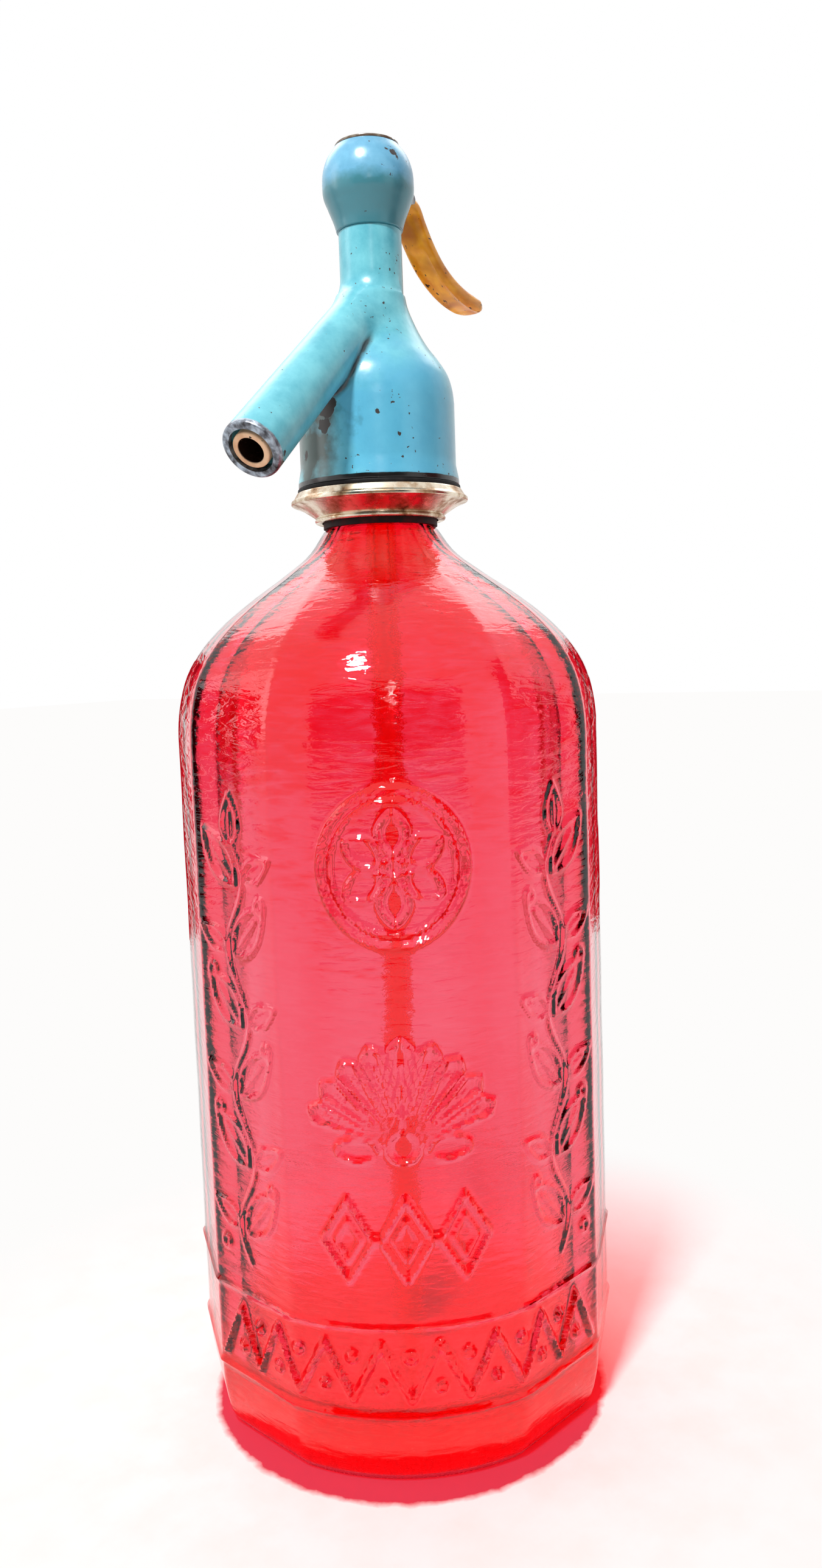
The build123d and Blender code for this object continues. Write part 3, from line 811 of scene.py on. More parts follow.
class Assembly:
    """One sub-assembly of the siphon."""

    def publish(self, piece: Piece, finish: Finish, *stands_for: str, angle: float = 32.0,
                body: Body = Body.SIPHON) -> None:
        """Shade and dress a finished piece and hand it to the frame.

        Args:
            piece: The finished mesh, in its place.
            finish: Its finish.
            stands_for: CAD nodes that it replaces.
            angle: Degrees above which an edge stays sharp.
            body: The body that carries it.
        """
        activate(piece)
        bpy.ops.object.shade_smooth_by_angle(angle=math.radians(angle))
        piece.data.materials.clear()
        piece.data.materials.append(finish.material())
        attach(piece, body.value)
        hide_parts(*stands_for)
        log.info("%s: %d faces on %s", piece.name, len(piece.data.polygons), body.value)


# ------------------------------------------------------------------------------------ glass bottle
@dataclass(frozen=True)
class Stroke:
    """One raised line of the moulded decoration, in millimetres across and up the glass."""

    points: np.ndarray
    half_width: float
    height: float


def ellipse(middle: Sequence[float], half: Sequence[float], count: int, start: float = 0.0,
            end: float = 360.0) -> np.ndarray:
    """Follow an ellipse or part of one.

    Args:
        middle: Its middle.
        half: Half of its width and of its height.
        count: How many points.
        start: Where it starts, in degrees from the right.
        end: Where it ends.

    Returns:
        The points, one row each.
    """
    turn = np.radians(np.linspace(start, end, count))
    return np.column_stack([middle[0] + half[0] * np.cos(turn), middle[1] + half[1] * np.sin(turn)])


def beside(foot: Sequence[float], lean: float, reach: Sequence[float],
           off: float | np.ndarray = 0.0) -> np.ndarray:
    """Points beside a line.

    Args:
        foot: Where the line starts.
        lean: Degrees from the upward direction, positive to the right.
        reach: Distance of each point along the line.
        off: Distance of the points to the right of it, one for all or one for each.

    Returns:
        The points, one row each.
    """
    along = np.array((math.sin(math.radians(lean)), math.cos(math.radians(lean))))
    across = np.array((along[1], -along[0]))
    return np.array(foot) + np.outer(reach, along) + np.outer(off * np.ones(len(reach)), across)


def leaf(foot: Sequence[float], length: float, lean: float, width: float) -> list[Stroke]:
    """A leaf with its rib.

    Args:
        foot: Where it leaves its stem.
        length: Foot to tip.
        lean: Degrees from the upward direction, positive to the right.
        width: Full width.

    Returns:
        The strokes of its two edges and its rib.
    """
    t = np.linspace(0, 1, 11)
    bow = np.sin(np.pi * t ** 0.8) * width / 2
    return [*[Stroke(beside(foot, lean, length * t, off), 0.9, 0.55) for off in (bow, -bow)],
            Stroke(beside(foot, lean, length * t[:8]), 0.8, 0.35)]


class MouldedRelief:
    """The bottle's raised decoration: a rosette, a fan, lozenges, two vines and a banded foot."""

    rosette = (0.0, 133.5)
    fan = (0.0, 75.5)
    lozenge_z = 55.5
    lozenge_pitch = 12.4
    vine_z = (44.0, 138.0)
    vine_pitch = 15.6
    vine_sway = 3.0
    band_z = (16.8, 19.6, 33.4, 36.2)
    band_half_angle = 57.0
    glass_r = 50.0
    facet_r = 48.3

    def panel(self) -> list[Stroke]:
        """Draw the front panel.

        Returns:
            The strokes, across from the panel's middle.
        """
        rings = (((15.2, 16.2), 1.15, 1.1), ((12.9, 13.8), 0.85, 0.8), ((1.7, 1.8), 1.3, 1.0))
        made = [Stroke(ellipse(self.rosette, half, 56), width, height) for half, width, height in rings]
        t = np.linspace(0, 1, 13)
        bow = 2.9 * np.sin(np.pi * t) ** 0.8
        made += [Stroke(beside(self.rosette, lean, 2.6 + 8.8 * t, off), 0.9, 1.0)
                 for lean in range(0, 360, 60) for off in (bow, -bow)]
        t = np.linspace(0, 1, 11)
        bow = (0.35 + 2.2 * t ** 1.6) * np.minimum(1, (1 - t) / 0.1)
        for step in range(-4, 5):
            reach = 3.4 + (19.0 - 0.35 * abs(step)) * t
            made += [Stroke(beside(self.fan, 17 * step, reach, off), 0.9, 0.95) for off in (bow, -bow)]
            made.append(Stroke(beside(self.fan, 17 * step, (9.0, 17.5)), 0.8, 0.5))
        x, z = self.fan
        made += [Stroke(ellipse((x, z), (3.3, 3.3), 24), 1.0, 1.0),
                 Stroke(ellipse((x - 9.5, z - 0.6), (4.6, 2.4), 20, 0, 300), 0.95, 0.9),
                 Stroke(ellipse((x + 9.5, z - 0.6), (4.6, 2.4), 20, -120, 180), 0.95, 0.9)]
        made += [Stroke(ellipse((step * self.lozenge_pitch, self.lozenge_z), (5.4 * size, 9 * size), 5),
                        0.95, height) for step in (-1, 0, 1) for size, height in ((1.0, 1.0), (0.5, 0.7))]
        return made + [Stroke(ellipse((step * self.lozenge_pitch, self.lozenge_z), (0.6, 0.6), 8), 1.0, 0.9)
                       for step in (-0.5, 0.5)]

    def facet(self) -> list[Stroke]:
        """Draw the vine that climbs the facet beside the panel.

        Returns:
            The strokes, across from the facet's middle.
        """
        low, high = self.vine_z
        up = np.linspace(low, high, 61)
        sway = self.vine_sway * np.sin((up - low) / self.vine_pitch * np.pi)
        made = [Stroke(np.column_stack([sway, up]), 1.0, 0.5)]
        for step in range(int((high - low) / self.vine_pitch)):
            sign = -1 if step % 2 else 1
            x, z = self.vine_sway * sign, low + (step + 0.5) * self.vine_pitch
            made += leaf((x - 2.4 * sign, z - 1.0), 15.5, -42 * sign, 7.2)
            made += leaf((x, z), 10.0, 62 * sign, 4.6)
            made.append(Stroke(ellipse((x + 5.4 * sign, z - 5.0), (1.3, 1.3), 12), 0.9, 0.6))
        return made + leaf((float(sway[-1]), high - 1), 11.0, 0, 5.4)

    def band(self) -> list[Stroke]:
        """Draw the chevrons round the foot.

        Returns:
            The strokes, along the glass from the panel's middle.
        """
        low, high = self.band_z[1] + 0.6, self.band_z[2] - 0.6
        reach = math.radians(self.band_half_angle) * self.glass_r
        across = np.linspace(-reach, reach, 17)
        zigzag = np.where(np.arange(len(across)) % 2 == 0, low, high)
        spots = [(x, low + 3.0 if z == high else high - 3.0) for x, z in zip(across[1:-1], zigzag[1:-1])]
        return [Stroke(np.column_stack([across, zigzag]), 1.25, 1.35),
                *[Stroke(ellipse(spot, (0.8, 0.8), 8), 1.1, 1.2) for spot in spots]]

    @staticmethod
    def raised(across: np.ndarray, up: np.ndarray, strokes: Sequence[Stroke]) -> np.ndarray:
        """Height of the relief.

        Args:
            across: Distance across the glass, one value for each point.
            up: Height of each point above the table.
            strokes: The raised lines.

        Returns:
            How far each point stands out, in millimetres.
        """
        total = np.zeros_like(across)
        for stroke in strokes:
            reach = stroke.half_width
            low, high = stroke.points.min(0) - reach, stroke.points.max(0) + reach
            near = np.nonzero((across > low[0]) & (across < high[0]) & (up > low[1]) & (up < high[1]))
            spots = np.column_stack([across[near], up[near]])
            best = np.full(len(spots), np.inf)
            for start, end in zip(stroke.points[:-1], stroke.points[1:]):
                run = end - start
                t = np.clip((spots - start) @ run / max(run @ run, 1e-9), 0, 1)
                best = np.minimum(best, np.linalg.norm(spots - start - t[:, None] * run, axis=1))
            rise = stroke.height * 0.5 * (1 + np.cos(np.pi * np.clip(best / reach, 0, 1)))
            total[near] = np.maximum(total[near], rise)
        return total

    def height(self, turn: np.ndarray, up: np.ndarray) -> np.ndarray:
        """Height of the whole relief.

        Args:
            turn: Degrees of each point from the panel's middle.
            up: Height of each point above the table.

        Returns:
            How far each point stands out, in millimetres.
        """
        made = self.raised(np.radians(turn) * self.glass_r, up, self.panel() + self.band())
        for side in (-1, 1):
            offset = side * turn - 45.0
            across = np.where(np.abs(offset) < 15.0,
                              np.tan(np.radians(np.clip(offset, -20, 20))) * self.facet_r, 99.0)
            made = np.maximum(made, self.raised(across, up, self.facet()))
        for ring in self.band_z[::3]:
            made = np.maximum(made, 0.3 * (1 + np.cos(np.pi * np.clip(np.abs(up - ring) / 1.1, 0, 1))))
        return made


@dataclass
class GlassBottle(Assembly):
    """The pressed bottle: twelve sides, two of them one round panel, under a round neck and lip."""

    facing: float = 213.0
    corner_r: float = 50.0
    foot_r: float = 46.6
    heel_h: float = 16.0
    wall_h: float = 158.0
    shoulder_h: float = 47.0
    shoulder_top_r: float = 13.4
    wall: float = 4.4
    floor: float = 10.0
    neck_r: float = 11.2
    bore_r: float = 8.1
    lip_r: float = 13.2
    top_z: float = 216.3
    corner_blend: float = 0.007
    row_step: float = 0.655
    ripple_out: float = 0.035
    ripple_in: float = 0.12
    widest: tuple[float, float] = (-51.2, 49.92)
    heel_shape: Outline = ((0, 0), (.15, .35), (.44, .74), (.75, .94), (1, 1))
    shoulder_shape: Outline = ((0, 1), (.06, .997), (.185, .974), (.306, .927), (.428, .832), (.547, .69),
                               (.668, .496), (.789, .27), (.9, .09), (1, 0))

    def section(self, turn: np.ndarray) -> np.ndarray:
        """Radius of the faceted section as a share of its corner radius.

        Args:
            turn: Degrees from the panel's middle.

        Returns:
            One share for each angle, with the corners softened.
        """
        sides = [np.ones_like(turn)]
        for facet in range(10):
            away = np.abs((turn - 45 - 30 * facet + 180) % 360 - 180)
            flat = math.cos(math.radians(15)) / np.cos(np.radians(np.minimum(away, 60)))
            sides.append(np.where(away < 60, flat, 9.0))
        nearest = np.sort(np.array(sides), axis=0)
        gap = np.clip(self.corner_blend - (nearest[1] - nearest[0]), 0, None)
        return nearest[0] - gap ** 2 / (4 * self.corner_blend)

    def rows(self) -> tuple[np.ndarray, np.ndarray]:
        """Rows of the mesh from the foot's middle, over the lip and down to the inner floor.

        Returns:
            Radius, height and roundness of each row, and whether it is on the outside.
        """
        heel = scaled(self.heel_shape, (self.foot_r, 0), (self.corner_r - self.foot_r, self.heel_h))
        shoulder = scaled(self.shoulder_shape, (self.shoulder_top_r, self.wall_h),
                          (self.corner_r - self.shoulder_top_r, self.shoulder_h))
        walls = (*np.arange(self.heel_h + self.row_step, 150.5, self.row_step),
                 *np.arange(152.0, self.wall_h - 0.5, 2.0))
        bore_r, neck_r, lip_r, top_z = self.bore_r, self.neck_r, self.lip_r, self.top_z
        outside = [(0, 1.1, 1), (12, 1.05, 1), (22, 0.9, 1), (31, 0.6, 1), (38, 0.3, 1), (41.5, 0.1, 0.8),
                   (43.2, 0.0, 0.3)]
        outside += [(r, z, 0) for r, z in curve_through([(self.foot_r - 0.5, 0.0), *heel[1:]], 15)]
        outside += [(self.corner_r, z, 0) for z in walls]
        outside += [(r, z, 0) for r, z in curve_through(shoulder, 34)]
        outside += [(12.75, 205.35, 0.35), (12.1, 205.7, 0.8), (11.5, 206.2, 1), (neck_r, 207.2, 1),
                    (neck_r, 209.4, 1), (11.3, 211.0, 1), (11.9, 211.5, 1), (12.7, 211.75, 1),
                    (lip_r, 212.4, 1), (lip_r, 215.3, 1), (12.95, 216.0, 1), (12.3, top_z, 1)]
        flat = math.cos(math.radians(15))
        lean = np.gradient(np.array(shoulder, float), axis=0)
        lean /= np.hypot(lean[:, 0], lean[:, 1])[:, None]
        under = [(r * flat - self.wall * dz, z + self.wall * dr) for (r, z), (dr, dz) in zip(shoulder, lean)]
        kept = [point for point in under if point[0] > bore_r + 1.0][::-1]
        inner_r = self.corner_r * flat - self.wall
        inside = [(9.0, top_z, 1), (8.35, 216.0, 1), (bore_r, 215.3, 1), (bore_r, 211.0, 1)]
        inside += [(r, z, 1) for r, z in curve_through([(bore_r, 205.6), *kept], 24)]
        inside += [(inner_r, z, 1) for z in np.linspace(150, self.floor + 8, 16)]
        inside += [(inner_r - 8 + 8 * math.cos(a), self.floor + 8 - 8 * math.sin(a), 1)
                   for a in np.linspace(0.2, math.pi / 2, 7)]
        inside += [(31, self.floor + 1.0, 1), (22, self.floor + 3.4, 1), (12, self.floor + 5.6, 1),
                   (0, self.floor + 6.4, 1)]
        rows = np.array(outside + inside, float)
        return rows, np.arange(len(rows)) < len(outside)

    def build(self) -> None:
        """Shape the bottle as one closed mesh, with its columns finest where the relief is."""
        rows, outer = self.rows()
        turn = np.concatenate([np.linspace(-66, 66, 211), np.arange(69, 292, 3.0)])
        share = self.section(turn)[None, :]
        radius, height, roundness = (rows[:, [index]] for index in range(3))
        reach = radius * (share + (1 - share) * roundness)
        grid_turn, grid_up = np.meshgrid(turn, rows[:, 1])
        on_wall = outer & (rows[:, 1] > 8) & (rows[:, 1] < 156) & (rows[:, 0] > 40)
        relief = MouldedRelief().height(grid_turn[on_wall].ravel(), grid_up[on_wall].ravel())
        reach[on_wall] += relief.reshape(on_wall.sum(), -1)
        wave = (np.sin(grid_up / 3.9 + 1.3 * np.sin(np.radians(grid_turn) * 5))
                + 0.6 * np.sin(grid_up / 7.3 - np.radians(grid_turn) * 9))
        # the outer ripples are sunk by their own height, so that the bottle grows no wider
        rippled = np.where(outer[:, None], self.ripple_out * (wave - 1.6), self.ripple_in * wave)
        reach += rippled * np.clip(radius / self.corner_r, 0, 1) ** 2
        angle = np.radians(turn + self.facing)[None, :]
        x = np.clip(reach * np.cos(angle), *self.widest)
        y = np.clip(reach * np.sin(angle), -self.widest[1], self.widest[1])
        bottle = swept("bottle_glass", np.stack([x, y, np.broadcast_to(height, x.shape)], axis=2))
        self.publish(bottle, PressedGlass("pressed_red_glass", "red_glass"), "glass_bottle", angle=50)


# ------------------------------------------------------------------------------------ neck fittings
@dataclass
class NeckFittings(Assembly):
    """The tinned collar that clamps the head to the neck, and the black gasket on it."""

    land_z: float = 213.8
    foot_z: float = 206.9
    rim_r: float = 20.6
    gasket_t: float = 0.9

    def build(self) -> None:
        """Turn the collar and its gasket and publish them."""
        foot, rim, z = self.foot_z, self.rim_r, self.land_z
        collar = turned("neck_collar_tinned", rounded([
            (13.6, foot, 0.15), (15.0, foot, 0.3), (15.35, 207.5, 0.3), (14.95, 208.05, 0.2),
            (16.2, 208.9, 0), (18.0, 210.1, 0), (19.7, 210.85, 0.3), (rim, 211.15, 0.25),
            (rim, 211.95, 0.3), (20.0, 212.3, 0.2), (19.55, 213.1, 0.3), (19.15, z, 0.25),
            (17.0, z, 0), (17.0, 221.0, 0.2), (15.2, 221.0, 0.2), (15.2, 208.5, 0), (13.6, 208.5, 0)]), 160)
        self.publish(collar, SpunPewter("spun_tinned_brass", "pewter"), "neck_collar", angle=28)
        gasket = turned("collar_gasket_ring", rounded([
            (17.05, z, 0), (18.95, z, 0.3), (18.95, z + self.gasket_t, 0.3), (17.05, z + self.gasket_t, 0)]))
        self.publish(gasket, MouldedRubber("moulded_black_rubber", "black_rubber"), "collar_gasket")


# ------------------------------------------------------------------------------------ head
class Spout:
    """Line and sizes of the spout, shared by the casting and its liner."""

    drop = math.radians(40)
    origin = np.array((0.0, 0.0, 257.4))
    axis = np.array((-math.cos(drop), 0.0, -math.sin(drop)))
    length = 47.0 / math.cos(drop)
    root_r = 5.8
    tip_r = 6.6

    @classmethod
    def radius(cls, along: np.ndarray) -> np.ndarray:
        """Outer radius at a distance along the spout."""
        return cls.root_r + (cls.tip_r - cls.root_r) * along / cls.length

    @classmethod
    def turned(cls, name: str, outline: Outline, steps: int = 112) -> Piece:
        """Turn an outline about the spout's line.

        Args:
            name: Name of the piece.
            outline: Radius and distance along the spout of each point.
            steps: Faces round the piece.

        Returns:
            The piece.
        """
        piece = turned(name, outline, steps)
        lean = Vector((0, 0, 1)).rotation_difference(Vector(cls.axis))
        move_mesh(piece, Matrix.Translation(Vector(cls.origin) * MM) @ lean.to_matrix().to_4x4())
        return piece


@dataclass
class HeadCasting(Assembly):
    """Bell, column and spout in one enamelled casting, with the plastic liner in the spout."""

    foot_z: float = 214.7
    foot_r: float = 18.7
    bell_r: float = 18.1
    straight_h: float = 18.5
    bell_h: float = 42.7
    column_r: float = 7.2
    column_top: float = 272.1
    lip: float = 0.42
    fillet: float = 1.9
    upper_fillet: float = 4.6
    crease_w: float = 1.9
    liner_r: float = 4.15
    liner_bore_r: float = 2.8
    bell_shape: Outline = ((0, 1), (.11, .975), (.248, .888), (.384, .7), (.52, .468), (.657, .285),
                           (.793, .14), (.92, .035), (1, 0))

    def outside(self) -> np.ndarray:
        """Outline the bell and the column.

        Returns:
            Radius and height of each point, from the foot up.
        """
        foot_z, top_z = self.foot_z, self.foot_z + self.bell_h
        start = foot_z + self.straight_h
        top_r = self.column_r + self.lip
        dome = scaled(self.bell_shape, (top_r, start), (self.bell_r - top_r, top_z - start))
        foot = rounded([(self.foot_r - 1, foot_z, 0), (self.foot_r, foot_z, 0.35),
                        (self.foot_r, foot_z + 1.4, 0.5), (self.bell_r, foot_z + 4.6, 0)], 4)
        straight = [(self.bell_r, z) for z in np.linspace(foot_z + 5.6, start - 0.8, 16)]
        step = [(top_r - 0.05, top_z + 0.12), (self.column_r + 0.08, top_z + 0.42)]
        column = [(self.column_r, z) for z in np.linspace(top_z + 0.7, self.column_top - 0.25, 18)]
        return np.array([*foot[1:], *straight, *curve_through(dome, 44), *step, *column,
                         (self.column_r - 0.2, self.column_top)])

    def distances(self, points: np.ndarray) -> tuple[np.ndarray, np.ndarray]:
        """Measure how far points lie from the two surfaces.

        Args:
            points: The points, one row each.

        Returns:
            Distance of each from the bell and from the spout, negative inside.
        """
        radius, height = self.outside()[4:-1].T
        slope = np.interp(points[:, 2], height, np.gradient(radius, height))
        bell = np.hypot(points[:, 0], points[:, 1]) - np.interp(points[:, 2], height, radius)
        offset = points - Spout.origin
        along = offset @ Spout.axis
        spout = np.linalg.norm(offset - along[:, None] * Spout.axis, axis=1) - Spout.radius(along)
        return bell / np.sqrt(1 + slope ** 2), spout

    def surface(self, points: np.ndarray) -> np.ndarray:
        """Join the two surfaces with a fillet, the spout kept under the column's lip.

        Args:
            points: The points, one row each.

        Returns:
            Distance of each from the joined surface, negative inside.
        """
        bell, spout = self.distances(points)
        over = points[:, 2] - (self.foot_z + self.bell_h - 0.1)
        share = np.clip(0.5 + 0.5 * (spout - over) / 1.8, 0, 1)
        spout = over + (spout - over) * share + 1.8 * share * (1 - share)
        width = np.interp(points[:, 2], (246, 254), (self.fillet, self.upper_fillet))
        share = np.clip(0.5 + 0.5 * (spout - bell) / width, 0, 1)
        return spout + (bell - spout) * share - width * share * (1 - share)

    def blend_joint(self, piece: Piece) -> None:
        """Even out the mesh along the joint of bell and spout and draw it onto the fillet.

        Args:
            piece: The joined bell and spout.
        """
        points = get_points(piece)
        bell, spout = self.distances(points)
        near = np.maximum(np.abs(bell), np.abs(spout)) < self.upper_fillet
        high = (points[:, 2] > self.foot_z + self.bell_h - 3) & (np.abs(spout) < 0.6)
        joint = np.nonzero((near | high) & (points[:, 2] < self.column_top - 1) & (points[:, 0] < 0.5))[0]
        pairs = np.empty(len(piece.data.edges) * 2, int)
        piece.data.edges.foreach_get("vertices", pairs)
        pairs = pairs.reshape(-1, 2)
        ends = np.concatenate([pairs, pairs[:, ::-1]])
        valence = np.bincount(ends[:, 0], minlength=len(points))[:, None]
        for _ in range(14):
            total = np.zeros_like(points)
            np.add.at(total, ends[:, 0], points[ends[:, 1]])
            points[joint] += 0.5 * (total / valence - points)[joint]
            for _ in range(3):
                here = points[joint]
                slope = np.stack([(self.surface(here + step) - self.surface(here - step)) / 0.1
                                  for step in np.eye(3) * 0.05], axis=1)
                steep = np.clip((slope ** 2).sum(1), 0.3, None)
                points[joint] = here - (self.surface(here) / steep)[:, None] * slope
        set_points(piece, points)

    def mark_crease(self, head: Piece) -> None:
        """Note on each vertex how near it lies to the joint of bell and spout, where shade is painted in.

        Args:
            head: The casting.
        """
        points = get_points(head)
        away = np.abs(self.distances(points)).max(0)
        low = np.interp(points[:, 2], (244, 251), (1, 0))
        near = np.clip(1.25 - away / self.crease_w, 0, 1) ** 1.5 * low
        head.data.attributes.new("crease", "FLOAT", "POINT").data.foreach_set("value", near)

    def hollow(self, head: Piece) -> None:
        """Cut the bell's cavity, the column's bore, the spout's bore and the groove at its mouth.

        Args:
            head: The casting.
        """
        dome = scaled(self.bell_shape, (self.column_r - 1.8, self.foot_z + self.straight_h - 1.2),
                      (self.bell_r - self.column_r, self.bell_h - self.straight_h))
        combine(head, turned("bell_cavity", [
            (0, self.foot_z - 1), (17.15, self.foot_z - 1), (17.15, 221.3), (16.2, 221.3),
            *[(min(r, 16.2), z) for r, z in dome], (5.4, 258.5), (5.4, 273), (0, 273)], 96), Boolean.CUT)
        end = Spout.length
        combine(head, Spout.turned("spout_bore", [
            (0, 2), (4.2, 2), (4.2, end - 5), (5.0, end - 5), (5.0, end + 1), (0, end + 1)], 72), Boolean.CUT)

    def finish(self) -> Finish:
        """Place the chips and stains of the enamel.

        Returns:
            Place the chips of the enamel, and its stains, which also paint the spout's shadow on the bell.
        """
        chips = (Patch((-43.6, -5.4, 217.2), 0.75), Patch((-15.1, -10.0, 229.0), 0.28),
                 Patch((-17.6, -4.2, 219.5), 0.3), Patch((-12.0, -13.6, 224.0), 0.25),
                 Patch((-18.1, 1.2, 231.0), 2.4), Patch((-17.9, 2.2, 227.0), 1.7),
                 Patch((-15.5, 9.4, 221.5), 0.8))
        # stains on the bell under the spout, which also paint the spout's shadow there
        stains_and_shadow = (Patch((-16.5, 7.0, 222.0), 7.0), Patch((-13.0, 13.0, 226.0), 8.0),
                  Patch((-17.8, 2.0, 230.0), 4.5), Patch((-8.0, 16.5, 221.0), 7.0))
        return StovedEnamel("stoved_blue_enamel", "turquoise_enamel", chips=chips, stains_and_shadow=stains_and_shadow,
                            blue=(Patch((-8.0, -12.0, 226.0), 17.0),), bare_spout_from=60.55,
                            black_below=215.75)

    def build(self) -> None:
        """Shape the casting and the spout's liner and publish them."""
        head = turned("head_casting", [(0, self.foot_z), *self.outside(), (0, self.column_top)], 176)
        end, tip_r = Spout.length, Spout.tip_r
        reach = np.concatenate([np.arange(1.5, 46, 0.75), np.linspace(47, end - 0.7, 9)])
        pipe = [(0, reach[0]), *zip(Spout.radius(reach), reach), (tip_r - 0.08, end - 0.3),
                (tip_r - 0.32, end - 0.06), (tip_r - 0.6, end), (0, end)]
        combine(head, Spout.turned("spout_form", pipe), Boolean.JOIN)
        close_up(head, 0.04)
        self.blend_joint(head)
        self.hollow(head)
        close_up(head, 0.01)
        self.mark_crease(head)
        self.publish(head, self.finish(), "head_body", angle=38)
        outer, bore = self.liner_r, self.liner_bore_r
        liner = Spout.turned("spout_liner_tube", rounded([
            (bore, 7.4, 0), (outer, 7.4, 0), (outer, end, 0.45), (bore, end, 0.45)]), 72)
        combine(liner, turned("column_core", [(0, 240), (5.25, 240), (5.25, 275), (0, 275)]), Boolean.CUT)
        self.publish(liner, MouldedPlastic("ivory_plastic", "cream_plastic", light="#EFC9A4",
                                           dark="#D6A67E", dirt="#1E0F09", bore_r=bore), "spout_liner")


# ------------------------------------------------------------------------------------ lever housing
@dataclass
class LeverHousing(Assembly):
    """The ball on top of the column, its slot for the lever and its screwed cap."""

    foot_z: float = 272.1
    height: float = 18.3
    foot_r: float = 7.6
    belly_r: float = 10.45
    top_r: float = 7.5
    belly_share: float = 0.56
    pin_z: float = 279.9
    cap_r: float = 7.3
    plug_r: float = 6.15

    def build(self) -> None:
        """Turn the ball, cut its slot, add the cap and publish both."""
        foot, top = self.foot_z, self.foot_z + self.height
        belly = foot + self.height * self.belly_share
        shell = curve_through([
            (self.foot_r, foot + 0.15), (7.95, foot + 1.5), (9.35, foot + 5.2), (10.32, belly - 2.4),
            (self.belly_r, belly), (10.25, belly + 2.6), (9.35, belly + 5.3), (self.top_r, top - 0.1)], 44)
        ball = turned("lever_housing_ball", [
            (5.25, 268.1), (5.25, foot), (self.foot_r - 0.25, foot), *shell, (self.top_r - 0.2, top),
            (6.2, top), (6.2, foot + 2), (2.4, foot + 2), (2.4, 268.1)], 144)
        combine(ball, block((18.0, 7.6, 8.8), (12.0, 0.0, self.pin_z + 0.8), 0.5), Boolean.CUT)
        close_up(ball, 0.005)
        chips = (Patch((-3.4, -8.9, 286.6), 0.85), Patch((-2.6, -9.4, 285.6), 0.5),
                 Patch((-4.6, -8.2, 287.0), 0.35), Patch((-7.6, -5.6, 288.8), 0.3))
        # painted shade: the lower half of the ball is darker below its middle
        self.publish(ball, StovedEnamel(
            "stoved_enamel_ball", "turquoise_enamel", light="#76BADA", middle="#549CC0", dark="#428491",
            shade_from=280.6, shade_to=283.2, chips=chips), "lever_housing", angle=34)
        plug, rim = self.plug_r, self.cap_r
        cap = turned("screwed_cap", [
            *rounded([(0, 289.5, 0), (3.9, 289.5, 0), (3.9, 286.5, 0), (plug, 286.5, 0.15), (plug, top, 0),
                      (rim, top, 0.15), (rim, top + 0.72, 0.3)]),
            (6.3, top + 0.9), (4.0, top + 0.97), (0, top + 1.0)], 112)
        combine(cap, block((1.4, 22.0, 1.6), (0.0, 0.0, top + 1.2), 0.15), Boolean.CUT)
        close_up(cap, 0.005)
        self.publish(cap, StovedEnamel(
            "rubbed_enamel_cap", "turquoise_enamel", light="#A39A8A", middle="#7D6E5C", dark="#5A4636",
            shade_from=290.7, shade_to=291.1), "top_cap", angle=30)


